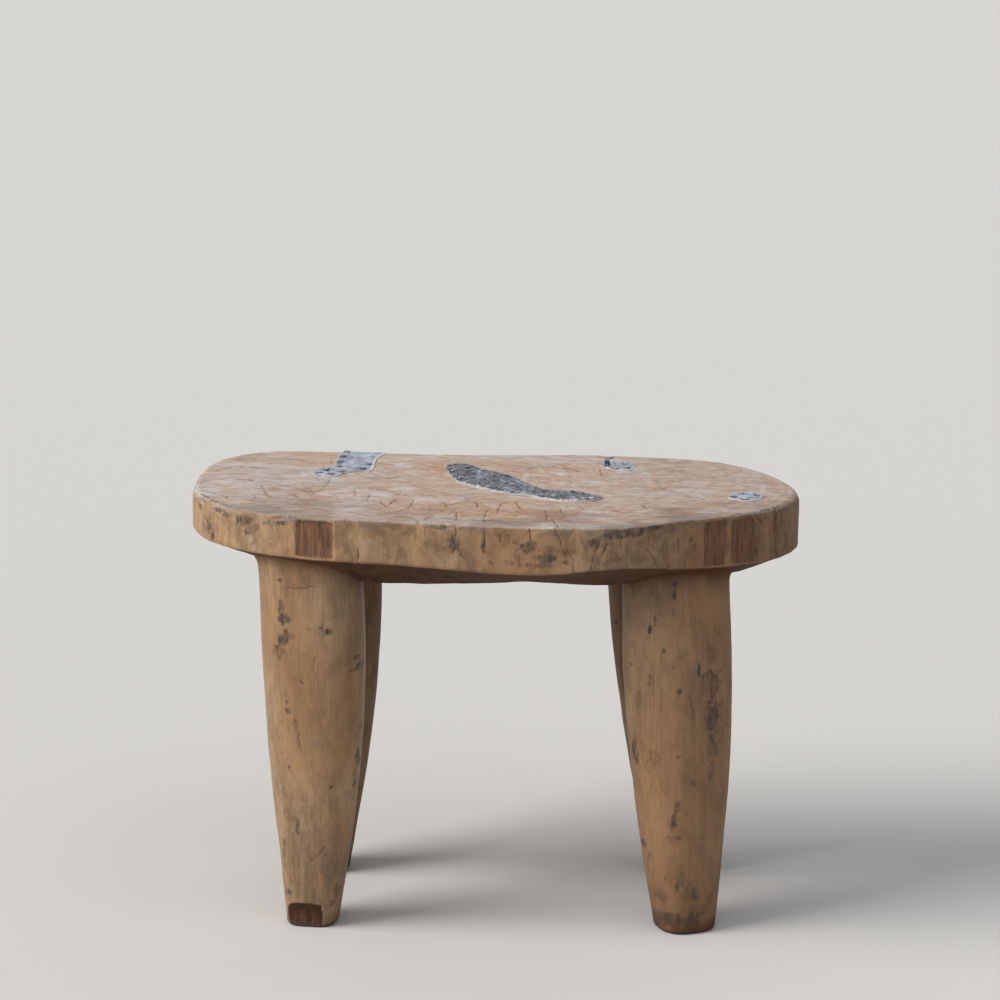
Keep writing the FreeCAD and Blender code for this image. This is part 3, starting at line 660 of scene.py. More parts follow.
class SeatShape:
    """Surface of the seat: outline, worn top, rim, bevel and underside, all in millimetres."""

    core_inset = 40.0
    core_grid = 281
    dish_inset = 42.0
    dish_run = 95.0

    def __init__(self, sizes):
        self.__dict__.update(sizes)
        shares = np.array(OUTLINE_SHARES)
        self.half = np.array([self.length / 2, self.depth / 2])
        points = shares * self.half
        steps = np.linalg.norm(np.roll(points, -1, 0) - points, axis=1)
        knots = np.concatenate([[0], np.cumsum(steps)]) / steps.sum()
        self.curve = ClosedCurve(knots, shares)
        self.rim_low = self.height - self.rim
        self.under = self.rim_low - self.bevel
        a = shares[:, 0]
        lift, run = np.array(HEWING_SHARES).T
        low = self.rim_low - self.rim_fall * a / 2 - self.rim_sag * a ** 2 + self.rim * lift
        run = run * (low - self.under) / math.tan(self.bevel_angle) + self.low_round
        self.edge = ClosedCurve(knots, np.column_stack([low, run]))
        u = np.linspace(0, 1, 4000, endpoint=False)
        dense = self.curve.at(u)
        angle = np.arctan2(dense[:, 1], dense[:, 0])
        order = np.argsort(angle)
        self.angles = angle[order]
        self.radii = np.hypot(dense[:, 0], dense[:, 1])[order]
        self.lows, self.runs = self.edge.at(u)[order].T
        back = dense[dense[:, 1] > 0] * self.half
        order = np.argsort(back[:, 0])
        self.back_edge = back[order]

    def inset_at(self, x, y):
        """Distance in from the outline, measured towards the middle."""
        a = x / self.half[0]
        b = y / self.half[1]
        angle = np.arctan2(b, a)
        edge = np.interp(angle, self.angles, self.radii, period=2 * math.pi)
        share = np.hypot(a, b) / edge
        across = np.sin(angle) ** 2
        reach = self.half[0] * (1 - across) + self.half[1] * across
        return (1 - share) * reach * edge

    def level(self, x):
        """Height of the unworn top, which falls to the right."""
        return self.height - self.fall * x / self.length

    def low_at(self, x, y):
        """Height of the rim's lower edge beside a place, and inset at which the bevel ends there."""
        angle = np.arctan2(y / self.half[1], x / self.half[0])
        low = np.interp(angle, self.angles, self.lows, period=2 * math.pi)
        return low, np.interp(angle, self.angles, self.runs, period=2 * math.pi)

    def wear(self, x, y):
        """Relief that weather and checking leave on the top, in noise of three sizes and a sine of its rings,
        less its drop by use and its cracks."""
        points = flat_points(x, y)
        drop = self.dish * smooth(self.inset_at(x, y), self.dish_inset, self.dish_inset + self.dish_run)
        relief = 0.6 * fractal(points, 70, 3, 3) + 0.42 * fractal(points, 16, 7, 3)
        relief += 0.18 * fractal(points, 4.5, 9, 2)
        rings = self.rings(x, y)
        relief += 0.12 * np.sin(rings * 2 * math.pi / 8.0) * smooth(rings, 4, 20)
        nearest = cracks_at(TOP_CRACKS, *self.bent(x, y))[0]
        return relief - drop - 0.9 * (1 - smooth(nearest, 0, 1.5))

    def rings(self, x, y):
        """Uneven distance from the heart of the log, which is near the left end."""
        along = (x - HEART[0]) * RING_STRETCH[0]
        across = (y - HEART[1]) * RING_STRETCH[1]
        return np.hypot(along, across) + 12 * fractal(flat_points(x, y), 60, 13, 3)

    def bent(self, x, y):
        """Places on the top pushed a little to and fro, so that a straight crack runs unevenly."""
        push = 1.6 * fractal(flat_points(x, y), 16, 17, 3)
        return x + push, y - 4 * push

    def top(self, x, y):
        """Height of the finished top, with its rounded edge."""
        inset = np.clip(self.inset_at(x, y), 0, self.top_round)
        fall_off = self.top_round - np.sqrt(self.top_round ** 2 - (self.top_round - inset) ** 2)
        return self.level(x) + self.wear(x, y) - fall_off

    def underneath(self, x, y):
        """Height of the bevel or underside above a place."""
        low, run = self.low_at(x, y)
        share = (self.inset_at(x, y) - self.low_round) / (run - self.low_round)
        return np.maximum(low + (self.under - low) * share, self.under)


def top_marks(seat, x, y):
    """Colour marks of the top, by name."""
    points = flat_points(x, y)
    rag = 0.75 * fractal(points, 14, 31, 4)
    inset = seat.inset_at(x, y)
    border = 1 - smooth(inset + 26 * fractal(points, 34, 41, 3), 3, 30)
    bent = seat.bent(x, y)
    nearest, across = cracks_at(TOP_CRACKS, *bent)
    front = smooth(-y, 20, 110)
    grey = np.maximum(blobs(TOP_GREY, x, y, rag), border * (0.22 + 0.38 * front))
    figure = fractal(points, (34, 18, 22), 51, 4)
    rust = np.maximum(blobs(TOP_RUST, x, y, rag), 0.4 * smooth(figure, 0.16, 0.5))
    line_side, line = lines_at(TOP_LINES, *bent, 2.4)
    streak_side, streak = lines_at(TOP_STREAKS, *bent, 2.0)
    return {
        "smudge": np.zeros_like(x),
        "rust": rust,
        "grey": grey,
        "pale": np.maximum(blobs(TOP_PALE, x, y, rag), 0.7 * smooth(fractal(points, 44, 61, 3), 0.1, 0.5)),
        "crack": 1 - smooth(nearest, 0.8, 3.0),
        "crack_side": across,
        "line": line,
        "line_side": line_side,
        "streak": streak,
        "streak_side": streak_side,
        "rings": seat.rings(x, y),
        "bark": np.zeros_like(x),
        "dark": 0.36 * front * smooth(fractal(points, 60, 63, 3), -0.2, 0.4) + 0.13 * smooth(x, 60, 180),
        "top": np.ones_like(x),
        "grain": np.zeros_like(x),
    }


def hollow_depth(x, z, low, level):
    """Share of the full depth of the natural hollows: smooth steps at upright sides, times steps at ends
    that a fourth power rounds and noise makes ragged."""
    points = np.stack([x, np.zeros_like(x), z], axis=-1)
    rag = 2.0 * fractal(points, (4, 4, 9), 71, 3)
    total = np.zeros_like(x)
    for left, right in HOLLOWS:
        inside = smooth(x, left + 0.4 * rag, left + 2.0 + 0.4 * rag)
        inside = inside * (1 - smooth(x, right - 3.0 + rag, right + rag))
        shoulder = 4.0 * ((x - (left + right) / 2) / (right - left) * 2) ** 4
        inside = inside * (1 - smooth(z, level - 4 - shoulder + rag, level - 1.5 - shoulder + rag))
        inside = inside * smooth(z, low - 1 + shoulder + rag, low + 3 + shoulder + rag)
        total = np.maximum(total, inside)
    return total


def ring_rows(seat, u):
    """Insets and heights of the seat's profile at each column, from inside the top round to the underside,
    and how far each row belongs to the top."""
    share = seat.curve.at(u)[:, 0]
    level = seat.level(share * seat.half[0])
    low, bevel = seat.edge.at(u).T
    ones = np.ones_like(share)
    bend = seat.top_round * (1 - 0.5 * smooth(-seat.curve.at(u)[:, 1], 0.3, 0.8))
    # The first two rows dip under the edge of the middle grid, so that no step shows between them
    rows = [(seat.core_inset + 2, level - 1.5, 1), (seat.core_inset + 0.2, level - 0.6, 1)]
    for t in np.linspace(0, 1, 23, endpoint=False):
        rows.append((seat.core_inset + (bend - seat.core_inset) * t, level, 1))
    for turn in np.linspace(0, math.pi / 2, 11, endpoint=False):
        rows.append((bend * (1 - math.sin(turn)), level - bend * (1 - math.cos(turn)), math.cos(turn) ** 2))
    for t in np.linspace(0, 1, 27, endpoint=False):
        high = level - bend
        rows.append((0.0, high + (low + seat.low_round - high) * t, 0))
    for turn in np.linspace(0, math.pi / 2, 4, endpoint=False):
        inset = seat.low_round * (1 - math.cos(turn))
        rows.append((inset, low + seat.low_round * (1 - math.sin(turn)), 0))
    for t in np.linspace(0, 1, 22, endpoint=False):
        rows.append((seat.low_round + (bevel - seat.low_round) * t, low + (seat.under - low) * t, 0))
    for t in np.linspace(0, 1, 4):
        rows.append((bevel + 30 * t, seat.under, 0))
    inset = np.stack([row[0] * ones for row in rows])
    height = np.stack([row[1] * ones for row in rows])
    topness = np.stack([row[2] * ones for row in rows])
    return inset, height, topness


def build_seat_ring(seat, material):
    """Outer ring of the seat: a closed band whose section is the worn edge, the rim, the bevel and a hidden
    wall, pushed along its normals by noise of four sizes, less chips, hollows and cracks."""
    u = np.linspace(0, 1, seat.columns, endpoint=False)
    inset, height, topness = ring_rows(seat, u)
    shares = seat.curve.at(u)
    x = (seat.half[0] - inset) * shares[None, :, 0]
    y = (seat.half[1] - inset) * shares[None, :, 1]
    grid = np.stack([x, y, height], axis=-1)
    normal = -grid_normals(grid, wrap_rows=True, wrap_columns=True)
    side = 1 - topness
    chips = smooth(fractal(grid, (16, 16, 10), 81, 3), 0.1, 0.55) * side
    chips = chips * smooth(height, seat.height - 14, seat.height)
    relief = 0.9 * fractal(grid, (26, 26, 40), 83, 3) + 0.35 * fractal(grid, (8, 8, 13), 85, 3) - 0.45
    relief = relief + 0.08 * fractal(grid, (3.2, 3.2, 12), 87, 2) - 1.6 * chips - 1.6 * smooth(-x, 255, 282)
    front = (y < 0) & (topness < 1)
    low = seat.edge.at(u)[None, :, 0]
    level = seat.level(x)
    on_rim = front * smooth(height, low - 2, low + 1)
    hollow = hollow_depth(x, height, low, level) * on_rim
    striae = fractal(grid, (1.8, 1.8, 20), 91, 3)
    nearest, across = cracks_at(RIM_CRACKS, x + 2.4 * fractal(grid, 11, 93, 3), height)
    nearest = np.where(front, nearest, 99)
    relief = relief - hollow * (2.4 + 0.8 * striae) - 0.9 * (1 - smooth(nearest, 0, 1.4))
    wear = seat.wear(x, y)
    # The right end and the back are drawn in a little, so that their relief stays within the solid
    pull = 0.6 * smooth(x, 255, 281) + 0.25 * smooth(y, 160, 179)
    grid = grid + normal * ((held_in(relief) - pull) * side)[..., None]
    # Rows of the top follow its fall at their own place, not at the outline's
    outer_level = seat.level(shares[:, 0] * seat.half[0])[None, :]
    grid[..., 2] += (wear + level - outer_level) * topness
    marks = rim_marks(seat, grid, hollow, nearest, across, topness)
    rows, columns = inset.shape
    faces = [grid_faces(rows, columns, wrap_rows=True, wrap_columns=True)[:, ::-1]]
    new_piece("seat_rim", grid, faces, marks, "carved_body", material)


def rim_marks(seat, grid, hollow, nearest, across, topness):
    """Colour marks of the rim, worn edge and bevel, by name."""
    x, y, z = grid[..., 0], grid[..., 1], grid[..., 2]
    top = top_marks(seat, x, y)
    rag = 0.8 * fractal(grid, (4.5, 4.5, 4.5), 101, 4)
    front = (y < 0) * (1 - topness)
    around = smooth(fractal(grid, (22, 22, 12), 103, 4), 0.3, 0.62) * (1 - topness) * 0.75
    smudge = np.maximum(blobs(RIM_SMUDGES, x, z, rag) * front, around * (y > 0))
    low = seat.low_at(x, y)[0]
    level = seat.level(x)
    # Painted shade on the bevel and underside, below the rim's lower edge
    below = 1 - smooth(z, low - 1.0, low + 0.8)
    edge = (1 - topness) * smooth(z, level - 13, level - 3)
    worn = edge * smooth(fractal(grid, (14, 14, 6), 107, 3), -0.1, 0.35)
    mix = smooth(topness, 0.35, 0.85)
    rubbed = np.exp(-((z - level + 2.0) / 1.5) ** 2) * (y < 0)
    rubbed = rubbed * smooth(fractal(grid, (26, 26, 8), 109, 3), -0.15, 0.3)
    smudge = np.maximum(smudge, 0.55 * rubbed)
    marks = {name: top[name] if name.endswith("_side") else top[name] * mix for name in top}
    marks["smudge"] = np.maximum(marks["smudge"], smudge)
    marks["rust"] = np.maximum(marks["rust"], blobs(RIM_RUST, x, z, rag) * front)
    marks["grey"] = np.maximum(marks["grey"], 0.8 * worn)
    marks["pale"] = np.maximum(marks["pale"], blobs(RIM_PAINT, x, z, rag) * front)
    marks["crack"] = np.maximum(marks["crack"], 1 - smooth(nearest, 0.8, 3.0))
    marks["crack_side"] = np.where(nearest < 4, across, top["crack_side"])
    marks["bark"] = hollow
    # Painted shade on the rim, growing to the right as it turns away from the light
    right_end = 0.18 * smooth(x, -150, -90) + 0.28 * smooth(x, 60, 150) + 0.21 * smooth(x, 205, 262)
    right_end = right_end * (1 - mix) * (1 - 0.3 * hollow)
    # The back of the rim is darker
    behind = 0.35 * (y > 0) * (1 - mix)
    marks["dark"] = np.maximum.reduce([marks["dark"], below, right_end, behind])
    marks["top"] = mix
    marks["grain"] = 0.2 + 0 * x
    return marks


def square_disc(count):
    """Grid on a disc of radius 1, squeezed from a square, as angle share and radius share."""
    side = np.linspace(-1, 1, count)
    a, b = np.meshgrid(side, side)
    radius = np.maximum(np.abs(a), np.abs(b))
    wide = np.abs(a) >= np.abs(b)
    angle = np.where(
        wide,
        np.where(a >= 0, 0, math.pi) + math.pi / 4 * np.where(wide, b / np.where(a == 0, 1, a), 0),
        np.where(b >= 0, math.pi / 2, -math.pi / 2) - math.pi / 4 * a / np.where(b == 0, 1, b),
    )
    return np.mod(angle / (2 * math.pi), 1.0), radius


def build_seat_core(seat, material):
    """Middle of the seat: a fine grid for the top, joined at its border to a coarser one for underneath."""
    count = seat.core_grid
    u, radius = square_disc(count)
    shares = seat.curve.at(u)
    x = radius * (seat.half[0] - seat.core_inset) * shares[..., 0]
    y = radius * (seat.half[1] - seat.core_inset) * shares[..., 1]
    top = np.stack([x, y, seat.level(x) + seat.wear(x, y)], axis=-1)
    border = grid_border(count, count)
    edge_u = u.ravel()[border]
    edge_shares = seat.curve.at(edge_u)
    bevel = seat.edge.at(edge_u)[:, 1]
    rings = []
    for t in np.linspace(0, 1, 16, endpoint=False):
        reach = (seat.half[None, :] - bevel[:, None] - 25) * (1 - t)
        flat = reach * edge_shares
        relief = 0.5 * fractal(np.column_stack([flat, np.zeros(len(flat))]), (34, 22, 30), 121, 3)
        rings.append(np.column_stack([flat, seat.under + 0.02 + np.maximum(relief, 0) * smooth(t, 0, 0.2)]))
    rings = np.array(rings)
    middle = np.array([[0, 0, seat.under]])
    vertices = np.vstack([top.reshape(-1, 3), rings.reshape(-1, 3), middle])
    first = count * count
    across = len(border)
    wall = band_faces(border, np.arange(across) + first)
    last = first + (len(rings) - 1) * across
    faces = [
        grid_faces(count, count),
        wall[:, ::-1],
        grid_faces(len(rings), across, wrap_columns=True, first=first)[:, ::-1],
        fan_faces(np.arange(across) + last, len(vertices) - 1, flip=True),
    ]
    marks = top_marks(seat, vertices[:, 0], vertices[:, 1])
    below = np.arange(len(vertices)) >= first
    for values in marks.values():
        values[below] = 0
    # Painted shade: the whole underside is darkened
    marks["dark"][below] = 1
    new_piece("seat_top", vertices, faces, marks, "carved_body", material)


# Legs


def even_section(squareness, count):
    """Evenly spaced points on a rounded square of half size 1: |x|^p + |y|^p = 1."""
    angle = np.linspace(0, 2 * math.pi, 2001)
    c = np.cos(angle)
    s = np.sin(angle)
    x = np.sign(c) * np.abs(c) ** (2 / squareness)
    y = np.sign(s) * np.abs(s) ** (2 / squareness)
    run = np.concatenate([[0], np.cumsum(np.hypot(np.diff(x), np.diff(y)))])
    even = np.linspace(0, run[-1], count, endpoint=False)
    return np.interp(even, run, x), np.interp(even, run, y)


def leg_axis(seat, legs, name, share):
    """Middle, width and depth of a leg at shares of its height."""
    top, foot, (width_share, depth_share, foot_share), bow, belly = LEGS[name][:5]
    middle = 4 * share * (1 - share)
    curve = open_curve(SWELL_SHARES, 400)
    swell = np.interp(share, curve[:, 0], curve[:, 1]) + belly * middle
    foot_width = legs["foot_width"] * foot_share
    foot_depth = legs["foot_depth"] * foot_share
    width = foot_width + (legs["top_width"] * width_share - foot_width) * swell
    depth = foot_depth + (legs["top_depth"] * depth_share - foot_depth) * swell
    top = np.array(top) * seat.half
    foot = np.array(foot) * seat.half
    x = foot[0] + (top[0] - foot[0]) * share + legs["top_width"] * bow * middle
    y = foot[1] + (top[1] - foot[1]) * share
    return x, y, width, depth


def build_leg(name, seat, legs, material):
    """One leg: a rounded square section swept up a leaning, swelling axis, pushed along its normals by noise
    drawn out upright and by an exponential flare under the seat, less its cracks."""
    height = seat.rim_low + legs["embed"]
    foot_round = 3.5
    foot_turns = np.linspace(0, math.pi / 2, 6, endpoint=False)
    inset_rows = [foot_round * (1 - math.sin(turn)) for turn in foot_turns]
    z_rows = [foot_round * (1 - math.cos(turn)) for turn in foot_turns]
    straight = np.linspace(foot_round, height, legs["rows"])
    z = np.concatenate([z_rows, straight])
    inset = np.concatenate([inset_rows, np.zeros(len(straight))])
    x0, y0, width, depth = leg_axis(seat, legs, name, z / height)
    sx, sy = even_section(legs["squareness"], legs["columns"])
    turn = math.radians(LEGS[name][-1])
    local_x = (width / 2 - inset)[:, None] * sx[None, :]
    local_y = (depth / 2 - inset)[:, None] * sy[None, :]
    x = x0[:, None] + local_x * math.cos(turn) - local_y * math.sin(turn)
    y = y0[:, None] + local_x * math.sin(turn) + local_y * math.cos(turn)
    grid = np.stack([x, y, np.broadcast_to(z[:, None], x.shape)], axis=-1)
    normal = grid_normals(grid, wrap_columns=True)
    seed = 200 + 10 * list(LEGS).index(name)
    relief = 0.9 * fractal(grid, (20, 20, 70), seed, 3) + 0.3 * fractal(grid, (7, 7, 24), seed + 1, 3)
    relief += 0.1 * fractal(grid, (1.8, 1.8, 22), seed + 2, 2) - 0.35
    below = seat.underneath(x, y) - grid[..., 2]
    relief += 2.4 * np.exp(-np.maximum(below, 0) / 2.4)
    front = y < y0[:, None]
    push = 3 * fractal(grid, 12, seed + 3, 3)
    nearest, across = cracks_at(LEG_CRACKS.get(name, []), x + push, grid[..., 2] - push)
    nearest = np.where(front, nearest, 99)
    relief -= 0.5 * (1 - smooth(nearest, 0, 1.3))
    relief *= smooth(grid[..., 2], -1.5, 4)
    grid = grid + normal * relief[..., None]
    grid[..., 2] = np.maximum(grid[..., 2], 0)
    grid, chipped = chip_foot(grid, seat, legs) if name == "front_left" else (grid, np.zeros_like(x))
    rows, columns = x.shape
    count = rows * columns
    vertices = grid.reshape(-1, 3)
    faces = [grid_faces(rows, columns, wrap_columns=True)]
    for row, flip in ((0, False), (rows - 1, True)):
        centre = grid[row].mean(axis=0)
        inner = centre + (grid[row] - centre) * 0.5
        inner_ring = np.arange(columns) + len(vertices)
        vertices = np.vstack([vertices, inner, centre])
        quads = band_faces(np.arange(columns) + row * columns, inner_ring)
        faces.append(quads if flip else quads[:, ::-1])
        faces.append(fan_faces(inner_ring, len(vertices) - 1, flip=not flip))
    spare = len(vertices) - count
    marks = leg_marks(name, vertices, seat, (x0, y0), seed)
    marks["crack"] = np.concatenate([0.6 * (1 - smooth(nearest, 0.8, 3.0)).ravel(), np.zeros(spare)])
    marks["crack_side"] = np.concatenate([across.ravel(), np.full(spare, 9)])
    marks["bark"] = np.concatenate([chipped.ravel(), np.zeros(spare)])
    # The chip is darker: its broken wood, and painted shade in its scoop
    marks["dark"][:count] = np.maximum(marks["dark"][:count], 0.8 * chipped.ravel())
    new_piece(name + "_leg", vertices, faces, marks, "carved_body", material)


def chip_foot(grid, seat, legs):
    """Scoops the chip out of the front left foot: points inside a lying cylinder are moved back onto it."""
    width, height, depth, turn = CHIP
    turn = math.radians(turn)
    foot, (_, _, share) = LEGS["front_left"][1:3]
    foot = np.array(foot) * seat.half
    front = foot[1] - legs["foot_depth"] * share / 2
    left = -legs["foot_width"] * share / 2
    radius = ((height / 2) ** 2 + depth ** 2) / (2 * depth)
    x = grid[..., 0] - foot[0]
    y = grid[..., 1] - front
    along = x * math.cos(turn) + y * math.sin(turn)
    inward = y * math.cos(turn) - x * math.sin(turn)
    rise = grid[..., 2] - (height / 2 - 2.5)
    rough = 0.9 * fractal(grid, (7, 7, 5), 301, 4)
    face = np.sqrt(np.maximum(radius ** 2 - rise ** 2, 0)) - (radius - depth) + rough
    ragged = left + width + 1.5 * fractal(grid, 6, 303, 3)
    cut = np.where(np.abs(rise) < radius, np.maximum(face - inward, 0), 0)
    cut = cut * (1 - smooth(along, ragged - 1.2, ragged))
    moved = grid + cut[..., None] * np.array([-math.sin(turn), math.cos(turn), 0])
    return moved, smooth(cut, 0.15, 0.9)


def leg_marks(name, vertices, seat, axis, seed):
    """Colour marks of a leg, by name."""
    x, y, z = vertices[:, 0], vertices[:, 1], vertices[:, 2]
    middle_x, middle_y = [np.interp(z, [0, seat.rim_low], [line[0], line[-1]]) for line in axis]
    front = smooth(middle_y - y, -4, 4)
    rag = 0.8 * fractal(vertices, (4, 4, 5), seed + 5, 4)
    smudge = np.minimum(1.3 * blobs(LEG_SMUDGES.get(name, []), x, z, rag), 1) * front
    random = smooth(fractal(vertices, (13, 13, 26), seed + 6, 4), 0.34, 0.62) * 0.8
    hidden = 1 - front if name in LEG_SMUDGES else np.ones_like(x)
    foot = 14 * fractal(vertices, 16, seed + 7, 3)
    below = np.maximum(seat.underneath(x, y) - z, 0)
    # Painted shade: darker all over on the legs that stand in shade, and darker on each leg's right side
    base, right = LEG_PAINTED_SHADE[name]
    dark = base + right * smooth(x - middle_x, -10, 34)
    # Darker towards the foot
    dark = dark + 0.4 * (1 - smooth(z + foot, 0, 22)) + 0.22 * (1 - smooth(z + foot, 10, 90))
    # Painted shadow along the foot's bottom edge, where it meets the floor
    dark = dark + 0.6 * (1 - smooth(z, 0.5, 3.5))
    # Painted shade at the top of each leg under the seat, reaching further down the rear legs
    dark = dark + 0.75 * np.exp(-below / 9)
    if name not in LEG_SMUDGES:
        dark = dark + 0.3 * np.exp(-below / 40)
    return {
        # The smudge at the foot's bottom edge is that painted shadow too
        "smudge": np.maximum.reduce([smudge, random * hidden, 1 - smooth(z, 1.2, 4.5)]),
        "rust": 0.5 * smooth(fractal(vertices, (18, 18, 50), seed + 8, 3), 0.15, 0.5),
        "grey": 0.3 * smooth(fractal(vertices, (20, 20, 60), seed + 9, 3), 0.1, 0.5),
        "pale": 0.0 * x,
        "rings": 0.0 * x,
        "dark": np.clip(dark, 0, 1),
        "top": 0.0 * x,
        "grain": 0.85 + 0.0 * x,
    }


# Sheet metal


def wrapped(seat, x, y):
    """Places on the top for a flat sheet laid on it, which bends down over the back edge."""
    edge = np.interp(x, seat.back_edge[:, 0], seat.back_edge[:, 1])
    radius = seat.top_round
    past = np.maximum(y - (edge - radius), 0)
    angle = np.minimum(past / radius, math.pi / 2)
    over = np.maximum(past - radius * math.pi / 2, 0)
    flat_y = np.minimum(y, edge - radius)
    drop = radius * (1 - np.cos(angle)) + over
    z = seat.level(x) + seat.wear(x, np.minimum(flat_y, edge - 1)) * (angle < 0.2) - drop
    return np.stack([x, flat_y + radius * np.sin(angle), z], axis=-1)


def patch_grid(seat, patch, spacing):
    """Grid of a patch seen flat: straight across from its far edge to its near edge."""
    half = np.array(patch["size"]) / 2
    middle = np.array(patch["place"]) * seat.half
    far = middle + np.array(patch["far"]) * half
    near = middle + np.array(patch["near"]) * half
    length = max(np.linalg.norm(np.diff(edge, axis=0), axis=1).sum() for edge in (far, near))
    columns = int(length / spacing)
    far = open_curve(far, columns)
    near = open_curve(near, columns)
    across = int(np.linalg.norm(far - near, axis=1).max() / spacing) + 2
    t = np.linspace(0, 1, across)[:, None, None]
    return near[None] * (1 - t) + far[None] * t


def build_patch(name, seat, metal, material):
    """One patch: a sheet of even thickness on the top, lifted along its normals by noise and by folds where
    noise passes zero, less towards its nails and its edge."""
    patch = PATCHES[name]
    flat = patch_grid(seat, patch, metal["spacing"])
    rows, columns = flat.shape[:2]
    points = np.concatenate([flat, np.zeros((rows, columns, 1))], axis=-1)
    seed = patch["seed"] * 10
    jag = 0.5 * fractal(points, 5, seed, 3)[..., None]
    across = np.linspace(-1, 1, rows)[:, None]
    edge_pull = np.abs(across) ** 12
    centre = flat.mean(axis=0, keepdims=True)
    outward = (flat - centre) / np.maximum(np.linalg.norm(flat - centre, axis=-1, keepdims=True), 1e-6)
    flat = flat + outward * jag * edge_pull[..., None]
    base = wrapped(seat, flat[..., 0], flat[..., 1])
    normal = grid_normals(base)
    crumple = patch["crumple"]
    folds = 1 - np.minimum(np.abs(fractal(points, (11, 17, 9), seed + 1, 3)) * 3.4, 1)
    fine = 1 - np.minimum(np.abs(fractal(points, (5, 9, 5), seed + 2, 2)) * 3.0, 1)
    hammer = fractal(points, 9, seed + 3, 3)
    rise = crumple * (0.5 * folds + 0.35 * fine) + 0.25 * hammer + 0.1
    edge = smooth(1 - np.abs(across), 0, 0.08)
    rise = rise * (0.35 + 0.65 * edge) + 0.35 * (1 - edge) * (0.5 + noise(points, 22, seed + 4))
    near_nail = np.full((rows, columns), np.inf)
    for px, py in nail_places(seat, patch):
        near_nail = np.minimum(near_nail, np.hypot(flat[..., 0] - px, flat[..., 1] - py))
    rise = np.maximum(rise * smooth(near_nail, 1.5, 8.0), 0) + 0.05
    upper = base + normal * (rise + patch["sheet"] * 0.6)[..., None]
    lower = base + normal * (rise - patch["sheet"] * 0.4)[..., None]
    vertices = np.vstack([upper.reshape(-1, 3), lower.reshape(-1, 3)])
    share = rise / max(crumple, 0.6)
    # Darker in the low folds of the crumple: dirt, and painted shade in the creases
    dirt = np.clip(0.45 - share + 0.7 * fractal(points, 9, seed + 5, 4), 0, 1)
    rubbed = 0.7 + 0.3 * smooth(noise(points, 12, seed + 7), -0.5, 0.3)
    from_edge = (1 - np.abs(across)) * rows * metal["spacing"] / 2
    # Light along the edges: bare rubbed metal, with a painted highlight along the near edge
    bright = (1 - smooth(from_edge, 0.0, np.where(across < 0, 4.0, 0.9))) * rubbed
    # Painted highlight on the crumple's highest ridges
    glint = 0.2 * smooth(share, 0.72, 0.95)
    # Painted light from the crumple: its ridges lighter and its hollows darker
    ridge = np.clip(2.2 * share - 1, -1, 1)
    marks = {
        "dirt": np.concatenate([dirt.ravel(), dirt.ravel()]),
        "bright": np.concatenate([np.maximum(bright, glint).ravel(), bright.ravel()]),
        "ridge": np.concatenate([ridge.ravel(), ridge.ravel()]),
        "rust": np.concatenate([(1 - smooth(near_nail, 3.2, 4.6)).ravel()] * 2),
    }
    new_piece(name, vertices, sheet_faces(rows, columns), marks, name, material, sharp=40.0)


def nail_places(seat, patch):
    """Middles of a patch's nails on the top."""
    half = np.array(patch["size"]) / 2
    return np.array(patch["place"]) * seat.half + np.array(patch["nails"]) * half


def build_nails(name, seat, metal, material):
    """Nails of a patch: each a turned profile with its own tilt and lumps, a flat head on a pointed shank."""
    patch = PATCHES[name]
    radius = metal["head"] / 2
    shank = metal["shank"] / 2
    thick = metal["head_thickness"]
    length = metal["nail_length"]
    profile = np.array([
        (0.05, thick), (0.3 * radius, thick), (0.55 * radius, 0.95 * thick), (0.78 * radius, 0.8 * thick),
        (0.93 * radius, 0.6 * thick), (radius, 0.38 * thick), (0.98 * radius, 0.12 * thick),
        (0.85 * radius, 0.0), (shank * 1.2, -0.05), (shank, -0.6), (shank, -0.5 * length),
        (shank * 0.9, -0.8 * length), (0.3, -length),
    ])
    columns = 40
    angle = np.linspace(0, 2 * math.pi, columns, endpoint=False)
    vertices = []
    faces = []
    first = 0
    for index, (px, py) in enumerate(nail_places(seat, patch)):
        seed = patch["seed"] * 100 + index
        place = np.array([[px, py, 0.0]])
        lean = 0.1 * np.array([noise(place, 3, seed)[0], noise(place, 3, seed + 1)[0]])
        ring = np.stack([np.cos(angle), np.sin(angle), np.zeros(columns)], 1)
        lump = 1 + 0.12 * noise(ring * 1.3 + 10, 1, seed)
        r = profile[:, :1] * lump[None, :]
        x = r * np.cos(angle)
        y = r * np.sin(angle)
        base = float(seat.top(np.array([px]), np.array([py]))[0]) + patch["sheet"] * 0.6 + 0.1
        z = base + profile[:, 1:] + x * lean[0] + y * lean[1]
        dents = 0.12 * noise(flat_points(x + px, y + py), 1.6, seed)
        z = z + dents * (profile[:, 1:] > 0.5 * thick)
        nail = np.stack([px + x, py + y, z], axis=-1).reshape(-1, 3)
        rows = len(profile)
        ends = np.array([[px, py, base + thick], [px, py, base - length - 0.2]])
        vertices.append(np.vstack([nail, ends]))
        faces.append(grid_faces(rows, columns, wrap_columns=True, first=first)[:, ::-1])
        top_ring = np.arange(columns) + first
        low_ring = top_ring + (rows - 1) * columns
        faces.append(fan_faces(top_ring, first + rows * columns))
        faces.append(fan_faces(low_ring, first + rows * columns + 1, flip=True))
        first += rows * columns + 2
    vertices = np.vstack(vertices)
    lift = fractal(vertices, 2.5, 401, 2)
    marks = {
        "dirt": 0.55 * smooth(lift, -0.3, 0.3),
        "bright": smooth(fractal(vertices, 1.6, 403, 2), 0.25, 0.5),
        "rust": smooth(fractal(vertices, 6, 405, 2), 0, 0.4),
    }
    new_piece(name + "_nails_set", vertices, faces, marks, name + "_nails", material, sharp=35.0)


